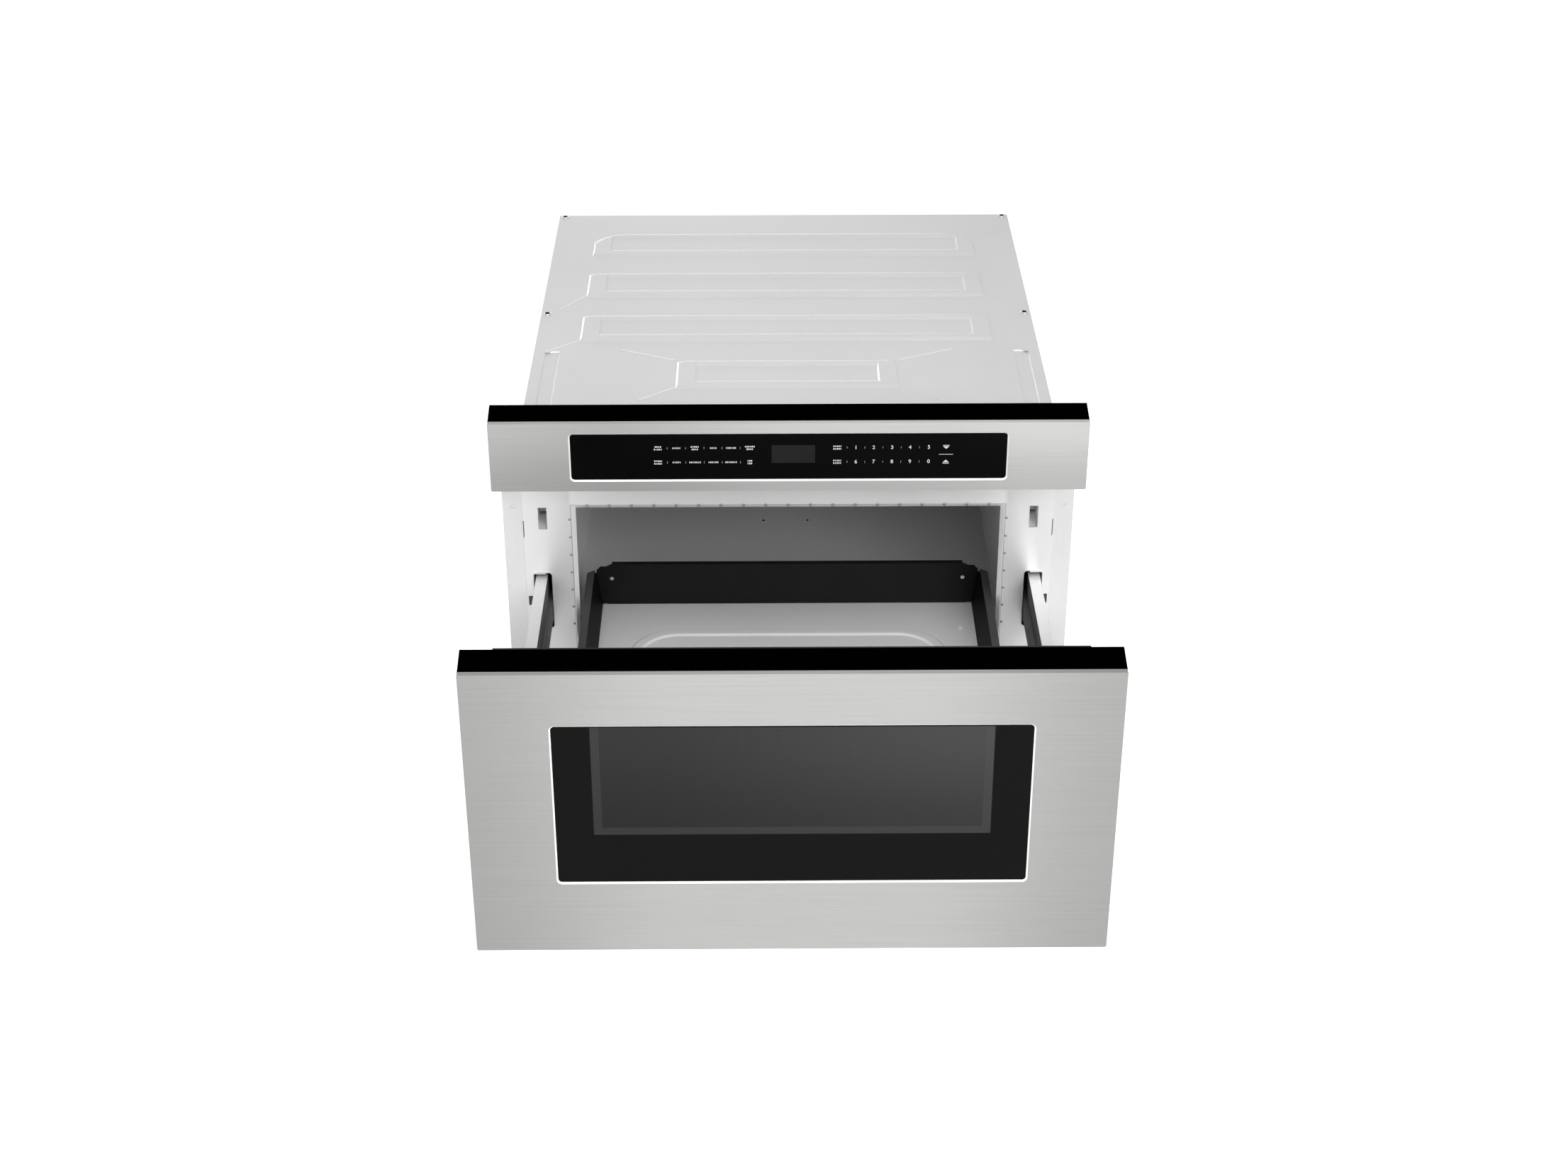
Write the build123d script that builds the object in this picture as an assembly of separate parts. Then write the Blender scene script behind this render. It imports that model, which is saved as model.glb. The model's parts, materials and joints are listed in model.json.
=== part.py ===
from build123d import *
import os
from math import cos, pi, radians, sin, tan

# Built-in microwave drawer. Millimetres, +X right, +Y to the back, +Z up. The origin is the
# centre of the case's underside. Every drawer piece is drawn shut and then moved out by TRAVEL.

# Case
CASE_W = 546.0
CASE_D = 558.0            # from the plane of the front frame to the back
CASE_H = 372.0
SHEET = 1.2               # case and frame sheets
LINER = 1.0               # oven liner sheets
HEM = 12.0                # folded edges of the case sheets
FRAME_EDGE = 5.5          # front frame past the side sheets
GLAND_IN = 60.0           # cord gland from the left side of the case
GLAND_Z = 60.0
GLAND_R = 11.0            # middle of the gland to a flat of its neck
GLAND_BORE = 6.05         # radius

# Front faces
FRONT_LAP = 30.2          # front past the case, each side
FRONT_W = CASE_W + 2 * FRONT_LAP
FRONT_D = 50.0            # from the steel faces, drawer shut, to the front frame
TRIM_D = 45.0             # steel and black surround together
TRIM_WALL = 3.0
TRIM_FLARE = 1.8          # widening of the surround towards the back, each side
STEEL = 2.0               # fascia sheet
STEEL_RETURN = 6.0        # folded edge of the fascia pans
EDGE_BEVEL = 1.4          # polished edge round a fascia cut-out
FRONT_CORNER = 1.0        # cut corners of both fronts
PANEL_H = 76.0
PANEL_RISE = 14.0         # top of the control panel above the case
FRONT_GAP = 8.5           # between control panel and drawer front
DRAWER_FRONT_H = 311.5
TRAVEL = 341.0

# Touch panel and drawer window
TOUCH_SIDE = 82.2         # steel beside the touch panel
TOUCH_EDGE = 12.25        # steel above and below it
TOUCH_W = FRONT_W - 2 * TOUCH_SIDE
TOUCH_H = PANEL_H - 2 * TOUCH_EDGE
TOUCH_R = 3.5
GLASS_T = 3.0
GLASS_LAP = 4.0           # glass behind the edge of its cut-out
DISPLAY_W = 44.0
DISPLAY_H = 20.0
DISPLAY_X = 4.7           # centre of the display
WINDOW_SIDE = 81.7        # steel beside the window
WINDOW_DROP = 56.3        # from the top of the drawer front to the window
WINDOW_RISE = 79.7        # from the bottom of the drawer front to the window
WINDOW_W = FRONT_W - 2 * WINDOW_SIDE
WINDOW_H = DRAWER_FRONT_H - WINDOW_DROP - WINDOW_RISE
WINDOW_R = 4.0
SCREEN_H = 150.0
SCREEN_BAND = 8.0         # inner frame seen round the screen

# Oven cavity and the opening in the front frame
CAVITY_SIDE = 39.0        # from the case side to the cavity, each side
CAVITY_W = CASE_W - 2 * CAVITY_SIDE
REAR_SPACE = 116.0        # behind the cavity, for the microwave generator
CAVITY_D = CASE_D - REAR_SPACE
CAVITY_FLOOR = 84.0       # above the case's underside
CAVITY_H = 186.0
OPENING_SIDE = 11.2       # cavity wall past the opening, each side
OPENING_RISE = 4.0        # lip above the cavity floor
OPENING_DROP = 7.4        # top of the opening below the cavity ceiling
OPENING_W = CAVITY_W - 2 * OPENING_SIDE
OPENING_H = CAVITY_H - OPENING_RISE - OPENING_DROP
OPENING_HEM = 8.0
OPENING_BEVEL = 4.0       # slanted edge round the opening

# Tray
TRAY_RISE = 14.0          # tray floor above the cavity floor
TRAY_REAR_GAP = 15.3      # back wall to the back of the cavity, drawer shut
TRAY_SIDE_GAP = 3.3       # side walls to the edge of the opening
TRAY_SHEET = 1.5
TRAY_WALL_H = 48.0
TRAY_LEAN = 7.0           # outward lean of each side wall
TRAY_RIM = 8.0            # flat top of the side walls
TRAY_W = OPENING_W - 2 * (TRAY_SIDE_GAP + TRAY_RIM + TRAY_LEAN)   # at the floor
TRAY_BACK_IN = 5.5        # back wall short of the side walls, each end
TRAY_BACK_W = TRAY_W - 2 * TRAY_BACK_IN
TRAY_BACK_H = 50.4
TRAY_HEM = 3.0            # folded edge along the top of the back wall
TRAY_CORNER_DROP = 4.1    # corner plates below the top of the back wall
SCREEN_SIDE = 15.5        # edge of the screen inside the tray, each side
SCREEN_W = TRAY_W - 2 * SCREEN_SIDE
RIDGE_SIDE = 32.5         # tray floor beside the ridge
RIDGE_W = TRAY_W - 2 * RIDGE_SIDE
RIDGE_BAND = 15.0
RIDGE_INSET = 56.0        # from the tray's front and back to the ridge
RIDGE_R = 55.0
RIDGE_H = 2.0

# Drawer back: inner panel and choke cover
INNER_PANEL_T = 4.0
INNER_PANEL_IN = 3.5      # inner panel inside the edge of the front frame
INNER_PANEL_W = CASE_W + 2 * (FRAME_EDGE - INNER_PANEL_IN)
SEAL_GAP = 1.0            # between inner panel and front frame, drawer shut
CHOKE_T = 6.0
CHOKE_GAP = 3.2           # round the choke cover in the opening

# Slides
SLIDE_OVERLAP = 99.0      # of two neighbouring members with the drawer out
SLIDE_LEN = TRAVEL + SLIDE_OVERLAP
SLIDE_Z = CAVITY_FLOOR + 68.5
SLIDE_T = 1.5             # slide member sheet
INNER_H = 47.0
INNER_W = 8.0
INNER_RACE = 3.7          # height of the roller gaps between the members
OUTER_RACE = 2.8
MIDDLE_H = INNER_H + 2 * (SLIDE_T + INNER_RACE)
MIDDLE_W = 12.0
FIXED_H = MIDDLE_H + 2 * (SLIDE_T + OUTER_RACE)
SLIDE_SIDE_GAP = 2.5      # between the webs of fixed and middle member
ROLLER_GAP = 0.08         # a roller's play above and below
ROLLER_PITCH = 250.0
ROLLER_COUNT = 2
ROLLER_FLATS = 8
RETAINER_T = 0.8
ARM_W = 4.0
ARM_H = 20.5
ARM_LEN = TRAVEL + 34.0
SLOT_GAP_IN = 0.8         # slide slot past the carrier channel
SLOT_GAP_OUT = 2.8        # slide slot past the middle member
SLOT_W = SLOT_GAP_IN + ARM_W + MIDDLE_W + SLOT_GAP_OUT
SLOT_H = MIDDLE_H + 10.6
SLOT_R = 4.0
LIP_W = 1.0               # bead round the slide slots of the front frame
LIP_H = 0.4

# Latches
LATCH_SLOT_W = 9.0
LATCH_SLOT_H = 25.5
LATCH_SLOT_X = CASE_W / 2 - 15.3
LATCH_SLOT_Z = CAVITY_FLOOR + CAVITY_H - 18.2
LATCH_T = 4.0
LATCH_LEN = 35.0
HOUSING_T = 1.5           # walls of the latch housings
HOUSING_DEPTH = 56.0
HOUSING_W = 12.0
LEVER_T = 2.0
LEVER_GAP = 0.5           # hook to lever, drawer shut
LEVER_PIN_R = 1.5

# Rack drive
MODULE = 2.0
PINION_TEETH = 16
RACK_AT_REST = round(TRAVEL / (pi * MODULE)) + 3    # teeth in front of the pinion, drawer out
RACK_TEETH = RACK_AT_REST + 4
PRESSURE_ANGLE = 20.0
BACKLASH = 0.4
RACK_W = 10.0
RACK_BODY = 10.0          # above the teeth
RACK_DROP = 26.0          # pitch line below the cavity floor
RACK_Z = CAVITY_FLOOR - RACK_DROP
PINION_BACK = 64.0        # pinion axis behind the front frame
RACK_LEN = PINION_BACK + SEAL_GAP + TRAVEL + 34.0
SHAFT_R = 4.0
RUNNING_GAP = 0.08        # radial clearance of a shaft in its bearing

# Installation screws in the side flanges
FLANGE_W = 26.0
FLANGE_LEG = 20.0
SCREW_OUT = 15.0          # screw holes outside the case sides
SCREW_LOW_Z = 40.0
SCREW_DROP = 106.0        # upper screw holes below the case top
SCREW_SPAN_X = CASE_W + 2 * SCREW_OUT
SCREW_SPAN_Z = CASE_H - SCREW_LOW_Z - SCREW_DROP
SCREW_R = 2.5

# Pressed ribs of the top sheet, counted from the back
RIB_PITCH = 121.5
RIB_BACK = 61.0           # first rib's back edge in front of the case's back
RIB_D = 72.0
RIB_H = 1.6
RIB_TAPER = 76.0          # lean of the front and back walls of a rib from upright
RIB_END = 2.0             # width of its end walls, seen from above
RIB_SIDE = 47.5           # top sheet beside the long ribs
RIB_W = CASE_W - 2 * RIB_SIDE
RIB_SHORT = RIB_W - 216.0
RIB_WIDTHS = (RIB_W, RIB_W, RIB_W, RIB_SHORT)
RIB_RADII = (45.0, 14.0, 14.0, 14.0)   # rear corners
RIB_FRONT_R = 10.0
RIB_RIM_SIDE = 20.0
RIB_RIM_BACK = 9.0
RIB_RIM_FRONT = 15.0
GROOVE_W = 16.0
GROOVE_X = CASE_W / 2 - 20.0
GROOVE_LEN = 158.0
GROOVE_DEPTH = 1.4
GROOVE_TAPER = 35.0
CREASE_H = 0.4
CREASE_W = 5.0
CREASES = (               # x, rib and distance behind that rib's back edge, from and to
    ((RIB_W / 2, 2, 55.0), (GROOVE_X, 2, 14.0)),
    ((RIB_W / 2, 2, -69.0), (GROOVE_X + 8, 2, -99.0)),
    ((RIB_W / 2 - 46, 2, -94.0), (RIB_SHORT / 2 + 3, 3, -0.5)),
    ((RIB_SHORT / 2 + 1, 3, -69.5), (RIB_SHORT / 2 + 37, 3, -98.5)),
)

# Microwave generator, fan and stirrer
STIRRER_R = 58.0
DOME_R = 82.0
DOME_H = 40.0
GUIDE_W = 92.0
GUIDE_H = 38.0
GUIDE_END = 13.0          # waveguide past the cavity's back sheet
MAG_W = 90.0
MAG_H = 76.0
MAG_D = 62.0              # over the cooling fins
MAG_CORE = 34.0
CORE_W = 96.0             # transformer core
CORE_H = 80.0
CORE_SPACE_H = 48.0       # openings in the transformer core
CAPACITOR_LEN = 92.0
BOARD_W = 84.0            # supply board
BOARD_H = 96.0
LAMP_IN = 84.0            # cavity lamp from the cavity's right side
LAMP_DROP = 40.0          # and below its ceiling
FAN_R = 46.0
FAN_BLADES = 7
FAN_X = -86.0             # back of the fan plate
FAN_FRAME = 8.0           # fan plate outside the blade tips
FAN_SHAFT_R = 2.5
FAN_MOTOR_GAP = 58.0      # fan plate to the motor's laminations

# Derived planes and lines
Y_FRAME = -CASE_D / 2
Y_BACK = CASE_D / 2
Y_FACE = Y_FRAME - FRONT_D
Y_TRIM = Y_FACE + TRIM_D
Y_INNER = Y_FRAME - SEAL_GAP
Y_CHOKE = Y_INNER + CHOKE_T
Y_LINER = Y_FRAME + CAVITY_D
Z_PANEL = CASE_H + PANEL_RISE
Z_DRAWER = Z_PANEL - PANEL_H - FRONT_GAP
Z_DRAWER_LOW = Z_DRAWER - DRAWER_FRONT_H
Z_CEILING = CAVITY_FLOOR + CAVITY_H
Z_OPEN = CAVITY_FLOOR + OPENING_RISE
Z_OPEN_TOP = Z_OPEN + OPENING_H
Z_TRAY = CAVITY_FLOOR + TRAY_RISE
X_INSIDE = CASE_W / 2 - SHEET
X_MIDDLE = X_INSIDE - SLIDE_T - SLIDE_SIDE_GAP
X_INNER = X_MIDDLE - MIDDLE_W
FRAME_HALF = CASE_W / 2 + FRAME_EDGE
SLIDE_SLOT_X = X_MIDDLE + SLOT_GAP_OUT - SLOT_W / 2
Y_TRAY_BACK = Y_LINER - TRAY_REAR_GAP
GLAND_X = GLAND_IN - CASE_W / 2
X_HOUSING = LATCH_SLOT_X - HOUSING_W / 2
Z_LEVER = LATCH_SLOT_Z + 18.5
Y_LEVER = Y_INNER + LATCH_LEN + LEVER_GAP + LEVER_T / 2
Y_PINION = Y_FRAME + PINION_BACK
Z_PINION = RACK_Z - MODULE * PINION_TEETH / 2
STIRRER_Y = (Y_FRAME + Y_LINER) / 2
Y_GUIDE = Y_LINER + LINER + GUIDE_END
FAN_Y = (Y_LINER + LINER + Y_BACK - SHEET) / 2
FAN_Z = Z_CEILING + LINER + GUIDE_H / 2
UP = (Align.CENTER, Align.CENTER, Align.MIN)


def span(x, y, z):
    """Block between two x, two y and two z values."""
    low, high = zip(x, y, z)
    size = [b - a for a, b in zip(low, high)]
    return Pos(*low) * Box(*size, align=(Align.MIN, Align.MIN, Align.MIN))


def rect(x, y, radius=0.0):
    """Flat rectangle between two values each way, with round corners if a radius is given."""
    width, height = x[1] - x[0], y[1] - y[0]
    flat = RectangleRounded(width, height, radius) if radius else Rectangle(width, height)
    return Pos((x[0] + x[1]) / 2, (y[0] + y[1]) / 2) * flat


def grown(face, amount):
    """Flat outline larger by amount all round, with its corners kept sharp."""
    return offset(face, amount=amount, kind=Kind.INTERSECTION)


def along_x(face, x):
    """Section drawn in Y and Z, drawn out between two x values."""
    return extrude(Plane.YZ.offset(x[0]) * face, amount=x[1] - x[0])


def along_y(face, y):
    """Section drawn in X and Z, drawn out between two y values."""
    return extrude(Plane.XZ.offset(-y[1]) * face, amount=y[1] - y[0])


def along_z(face, z):
    """Section drawn in X and Y, drawn out between two z values."""
    return extrude(Pos(0, 0, z[0]) * face, amount=z[1] - z[0])


def bent(points, thickness):
    """Section of a folded sheet: the points run along one skin, the thickness lies on their left."""
    skin = Polyline(*points)
    closed = offset(skin, amount=thickness, side=Side.LEFT, kind=Kind.INTERSECTION)
    return make_face(closed.edges())


def channel(x_web, x_lip, z_low, z_high, thickness, y):
    """Channel section with its web at x_web and both flanges ending at x_lip."""
    points = [(x_lip, z_low), (x_web, z_low), (x_web, z_high), (x_lip, z_high)]
    return along_y(bent(points, thickness), y)


def pair(name, right):
    """The right-hand piece and its mirror image."""
    return {name + "_right": right, name + "_left": mirror(right, about=Plane.YZ)}


def both(right):
    """The right-hand piece and its mirror image as one set."""
    return Compound(children=[right, mirror(right, about=Plane.YZ)])


def slots(count, pitch, length, width):
    """Row of parallel slots, centred on the origin."""
    return Sketch() + GridLocations(0, pitch, 1, count) * Rectangle(length, width)


# ---------------------------------------------------------------- case

def case_base():
    """Bottom pan between the side sheets, with air slots under the rear compartment."""
    points = [(-X_INSIDE, HEM), (-X_INSIDE, 0), (X_INSIDE, 0), (X_INSIDE, HEM)]
    pan = along_y(bent(points, SHEET), (Y_FRAME + SHEET, Y_BACK - SHEET))
    air = Pos(-CASE_W / 4, Y_BACK - 60) * slots(6, 9, 90, 4)
    return pan - along_z(air, (-1, SHEET + 1))


def case_side():
    """Right side sheet with its folded top edge."""
    edge = CASE_W / 2
    top = CASE_H - SHEET
    points = [(edge, 0), (edge, top), (edge - HEM, top)]
    return along_y(bent(points, SHEET), (Y_FRAME + SHEET, Y_BACK - SHEET))


def rib_back(index):
    """Back edge of a rib, counted from the back."""
    return Y_BACK - RIB_BACK - index * RIB_PITCH


def rib_shape(half, y, rear_r, front_r):
    """Rectangle seen from above with one radius at the rear corners and one at the front."""
    flat = rect((-half, half), y)
    flat = fillet(flat.vertices().group_by(Axis.Y)[-1], rear_r)
    return fillet(flat.vertices().group_by(Axis.Y)[0], front_r)


def tapered(flat, half, z, height):
    """Form on a flat outline: gently sloping front and back, narrow end walls at half each side."""
    body = extrude(Pos(0, 0, z) * flat, amount=height, taper=RIB_TAPER)
    low, high = (-half, z), (half, z)
    end = [low, high, (half - RIB_END, z + height), (RIB_END - half, z + height)]
    return body & along_y(make_face(Polyline(*end, close=True).edges()), (-CASE_D, CASE_D))


def rib_form(index, z):
    """Raised rib with a pocket in it, standing on height z."""
    back = rib_back(index)
    half = RIB_WIDTHS[index] / 2
    spare = RIB_H * tan(radians(RIB_TAPER)) - RIB_END
    outline = rib_shape(half + spare, (back - RIB_D, back), RIB_RADII[index], RIB_FRONT_R)
    pocket_half = half - RIB_RIM_SIDE
    wide = pocket_half + spare
    pocket = rect((-wide, wide), (back - RIB_D + RIB_RIM_FRONT, back - RIB_RIM_BACK))
    hill = tapered(outline, half, z, RIB_H)
    return hill - tapered(pocket, pocket_half, z + RIB_H, -RIB_H)


def groove_form(side, z):
    """Sloping side groove that runs out of the front edge, hanging from height z."""
    x = (side * GROOVE_X - GROOVE_W / 2, side * GROOVE_X + GROOVE_W / 2)
    flat = rect(x, (Y_FRAME - GROOVE_W, Y_FRAME + GROOVE_LEN))
    return extrude(Pos(0, 0, z) * flat, amount=-GROOVE_DEPTH, taper=GROOVE_TAPER)


def crease(start, end):
    """Low ridge with a three-sided section between two points of the top sheet."""
    low, high = [Vector(x, rib_back(rib) + ahead, CASE_H) for x, rib, ahead in (start, end)]
    run = high - low
    across = Plane(origin=low, x_dir=Vector(0, 0, 1).cross(run), z_dir=run)
    section = Polyline((-CREASE_W / 2, 0), (CREASE_W / 2, 0), (0, CREASE_H), close=True)
    return extrude(across * make_face(section.edges()), amount=run.length)


def case_top():
    """Top sheet with its ribs pressed up and its two side grooves pressed down."""
    low = CASE_H - SHEET
    front = Y_FRAME + SHEET
    sheet = span((-CASE_W / 2, CASE_W / 2), (front, Y_BACK), (low, CASE_H))
    for side in (-1, 1):
        sheet += groove_form(side, low)
        sheet -= groove_form(side, CASE_H)
    for index in range(len(RIB_WIDTHS)):
        sheet += rib_form(index, CASE_H)
        sheet -= rib_form(index, low)
    for start, end in CREASES:
        ridge = crease(start, end)
        sheet = sheet + ridge + mirror(ridge, about=Plane.YZ)
    return sheet - span((-CASE_W, CASE_W), (front - 2 * GROOVE_W, front), (low - 5, CASE_H + 5))


def case_back():
    """Rear sheet with intake and outlet slots and the hole of the cord gland."""
    half = CASE_W / 2
    sheet = span((-half, half), (Y_BACK - SHEET, Y_BACK), (0, CASE_H - SHEET))
    intake = Pos(-half * 0.6, FAN_Z) * slots(8, 9, 110, 4)
    outlet = Pos(half * 0.55, CASE_H * 0.32) * slots(6, 9, 90, 4)
    gland = Pos(GLAND_X, GLAND_Z) * RegularPolygon(GLAND_R, 6, major_radius=False)
    return sheet - along_y(intake + outlet + gland, (Y_BACK - SHEET - 1, Y_BACK + 1))


def cord_gland():
    """Bush in the rear sheet for the supply cord, with its flange outside."""
    hole = Circle(GLAND_BORE)
    neck = along_y(RegularPolygon(GLAND_R, 6, major_radius=False) - hole, (Y_BACK - 8, Y_BACK))
    flange = along_y(RegularPolygon(GLAND_R + 5, 6) - hole, (Y_BACK, Y_BACK + 3))
    return Pos(GLAND_X, 0, GLAND_Z) * (neck + flange)


def latch_slot():
    """Latch slot of the right-hand stile."""
    return Pos(LATCH_SLOT_X, LATCH_SLOT_Z) * Rectangle(LATCH_SLOT_W, LATCH_SLOT_H)


def slide_slot(grow=0.0):
    """Slide slot of the right-hand stile, or larger by grow."""
    return Pos(SLIDE_SLOT_X, SLIDE_Z) * RectangleRounded(SLOT_W + 2 * grow, SLOT_H + 2 * grow, SLOT_R)


def edge_cuts():
    """Notch beside the slide slot and narrow slit at the latch, in the frame's edge."""
    notch = Pos(FRAME_HALF - 4.2, SLIDE_Z) * Rectangle(5, 11.5)
    slit = Pos(FRAME_HALF - 0.3, LATCH_SLOT_Z - LATCH_SLOT_H / 2) * Rectangle(1.2, 20)
    return along_y(notch + slit, (Y_FRAME - 1, Y_FRAME + SHEET + 0.1))


def front_frame():
    """Front plate with the cavity opening, its slanted folded edge and the beaded slots."""
    opening = rect((-OPENING_W / 2, OPENING_W / 2), (Z_OPEN, Z_OPEN_TOP))
    rack_slot = rect((-RACK_W / 2 - 3, RACK_W / 2 + 3), (RACK_Z - 6, RACK_Z + RACK_BODY + 6))
    holes = latch_slot() + slide_slot()
    holes = holes + mirror(holes, about=Plane.YZ)
    lips = slide_slot(LIP_W) - slide_slot()
    lips = lips + mirror(lips, about=Plane.YZ)
    plate = rect((-FRAME_HALF, FRAME_HALF), (0, CASE_H)) - grown(opening, OPENING_BEVEL)
    sheet = along_y(plate - rack_slot - holes, (Y_FRAME, Y_FRAME + SHEET))
    sheet += along_y(lips, (Y_FRAME - LIP_H, Y_FRAME))
    cuts = edge_cuts()
    face = Plane.XZ.offset(-Y_FRAME)
    outer = extrude(face * grown(opening, OPENING_BEVEL + SHEET), amount=-OPENING_BEVEL, taper=45)
    inner = extrude(face * grown(opening, OPENING_BEVEL), amount=-OPENING_BEVEL, taper=45)
    hem = along_y(grown(opening, SHEET) - opening, (Y_FRAME + OPENING_BEVEL, Y_FRAME + OPENING_HEM))
    return sheet - cuts - mirror(cuts, about=Plane.YZ) + (outer - inner) + hem


def mounting_flange():
    """Right-hand angle on the case side, with the two installation screw holes."""
    inner = CASE_W / 2
    front = Y_FRAME + SHEET
    points = [(inner + FLANGE_W, front), (inner, front), (inner, front + FLANGE_LEG)]
    angle = along_z(bent(list(reversed(points)), SHEET), (4, CASE_H - 4))
    for z in (SCREW_LOW_Z, SCREW_LOW_Z + SCREW_SPAN_Z):
        hole = Pos(SCREW_SPAN_X / 2, z) * Circle(SCREW_R)
        angle -= along_y(hole, (front - 1, front + SHEET + 1))
    return angle


def case_screws():
    """Screw heads on the top sheet and on the rear sheet."""
    head = extrude(RegularPolygon(3.6, 6), amount=1.6) + extrude(RegularPolygon(4.4, 6), amount=0.6)
    x = CASE_W / 2 - HEM / 2 - 1
    top = [Pos(s * x, y, CASE_H) * head for s in (-1, 1) for y in (Y_BACK - 6, -21)]
    turn = Rot(-90, 0, 0)
    rows = (20, CASE_H / 2, CASE_H - 20)
    rear = [Pos(s * x, Y_BACK, z) * turn * head for s in (-1, 1) for z in rows]
    return Compound(children=top + rear)


# ---------------------------------------------------------------- oven liner

def cavity_sheets():
    """Floor, ceiling, back and right side of the liner."""
    half = CAVITY_W / 2
    y = (Y_FRAME + SHEET, Y_LINER)
    wide = (-half - LINER, half + LINER)
    floor = span(wide, (y[0], y[1] + LINER), (CAVITY_FLOOR - LINER, CAVITY_FLOOR))
    ceiling = span(wide, (y[0], y[1] + LINER), (Z_CEILING, Z_CEILING + LINER))
    mouth = Pos(0, STIRRER_Y, Z_CEILING) * extrude(dome_outline(-10), amount=LINER, both=True)
    back = span(wide, (y[1], y[1] + LINER), (CAVITY_FLOOR, Z_CEILING))
    side = span((half, half + LINER), y, (CAVITY_FLOOR, Z_CEILING))
    return floor, ceiling - mouth, back, side


def dome_outline(grow=0.0):
    """Eight-sided outline of the stirrer chamber, flat towards the back, or larger by grow."""
    return Rot(0, 0, 22.5) * RegularPolygon(DOME_R + grow, 8, major_radius=False)


def stirrer_cover():
    """Flat cover under the mouth of the stirrer dome."""
    return Pos(0, STIRRER_Y, Z_CEILING - LINER) * extrude(dome_outline(-4), amount=LINER)


def stirrer_dome():
    """Shallow pressed chamber on the ceiling, open to the waveguide at the back."""
    base = Z_CEILING + LINER
    shell = extrude(dome_outline(), amount=DOME_H)
    shell -= extrude(dome_outline(-LINER), amount=DOME_H - LINER)
    shell -= Cylinder(SHAFT_R, 2 * DOME_H)
    port = span((-GUIDE_W / 2 + 1, GUIDE_W / 2 - 1), (0, DOME_R + 5), (1, GUIDE_H - 1))
    return Pos(0, STIRRER_Y, base) * (shell - port)


def stirrer():
    """Rotating stirrer: shaft, hub and three bent blades."""
    base = Z_CEILING + LINER
    shaft = Pos(0, 0, 6) * Cylinder(SHAFT_R - 1.5, DOME_H - 4, align=UP)
    hub = Pos(0, 0, 6) * extrude(RegularPolygon(9, 6), amount=6)
    blade = span((8, STIRRER_R), (-13, 13), (8, 9.2))
    tip = Pos(STIRRER_R - 1, 0, 8) * Rot(0, -55, 0) * span((0, 18), (-13, 13), (-1.2, 0))
    blades = [Rot(0, 0, 120 * k) * (blade + tip) for k in range(3)]
    return Pos(0, STIRRER_Y, base) * (shaft + hub + blades)


def stirrer_motor():
    """Small flat motor on the dome, with its fixing ears."""
    base = Z_CEILING + LINER + DOME_H
    bore = Circle(SHAFT_R - 1.5 + RUNNING_GAP)
    can = extrude(RegularPolygon(24, 16) - bore, amount=15)
    ears = extrude(Rectangle(66, 12) - bore, amount=1.2)
    return Pos(0, STIRRER_Y, base) * (can + ears)


# ---------------------------------------------------------------- rear compartment

def waveguide():
    """Rectangular duct from the magnetron to the stirrer dome, closed at its rear end."""
    base = Z_CEILING + LINER
    x, z = (-GUIDE_W / 2, GUIDE_W / 2), (base, base + GUIDE_H)
    outer = rect(x, z)
    inner = grown(outer, -LINER)
    duct = along_y(outer - inner, (STIRRER_Y, Y_GUIDE))
    duct -= Pos(0, STIRRER_Y, base) * extrude(dome_outline(), amount=2 * GUIDE_H)
    end = outer - Pos(0, base + GUIDE_H / 2) * RegularPolygon(11, 12)
    return duct + along_y(end, (Y_GUIDE - LINER, Y_GUIDE))


def magnetron():
    """Magnetron: antenna, mounting plate, magnets, cooling fins in their yoke, filter box."""
    antenna = along_y(RegularPolygon(8, 12), (-22, 0))
    plate = along_y(Rectangle(MAG_W, MAG_H), (0, 1.5))
    core = along_y(Rectangle(MAG_CORE, MAG_CORE), (1.5, MAG_D))
    magnets = along_y(RegularPolygon(28, 8), (1.5, 13)) + along_y(RegularPolygon(28, 8), (49, MAG_D - 1.5))
    fin = Rectangle(MAG_W - 4, MAG_H - 4)
    fins = [along_y(fin, (17 + 6 * k, 17.8 + 6 * k)) for k in range(6)]
    yoke_ring = Rectangle(MAG_W, MAG_H) - Rectangle(MAG_W, MAG_H - 3)
    yoke = along_y(yoke_ring, (1.5, MAG_D)) + along_y(Rectangle(MAG_W, MAG_H), (MAG_D - 1.5, MAG_D))
    box = along_y(Rectangle(58, 44), (MAG_D, MAG_D + 26))
    whole = antenna + plate + core + magnets + fins + yoke + box
    return Pos(0, Y_GUIDE, FAN_Z) * whole


def transformer():
    """High-voltage transformer: laminated core, two windings and the foot plate."""
    spaces = Sketch() + GridLocations(38, 0, 2, 1) * Rectangle(18, CORE_SPACE_H)
    core = along_y(Rectangle(CORE_W, CORE_H) - spaces, (-28, 28))
    loop = chamfer(rect((-29, 29), (-43, 43)).vertices(), 8) - rect((-10.5, 10.5), (-28, 28))
    ring = along_z(loop, (-22, -1))
    windings = ring + Pos(0, 0, 23) * ring
    foot = span((-CORE_W / 2 - 7, CORE_W / 2 + 7), (-32, 32), (-CORE_H / 2 - 2, -CORE_H / 2))
    body = core + windings + foot
    return Pos(CASE_W / 4 + 10, (Y_GUIDE + Y_BACK) / 2, SHEET + CORE_H / 2 + 2) * body


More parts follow.
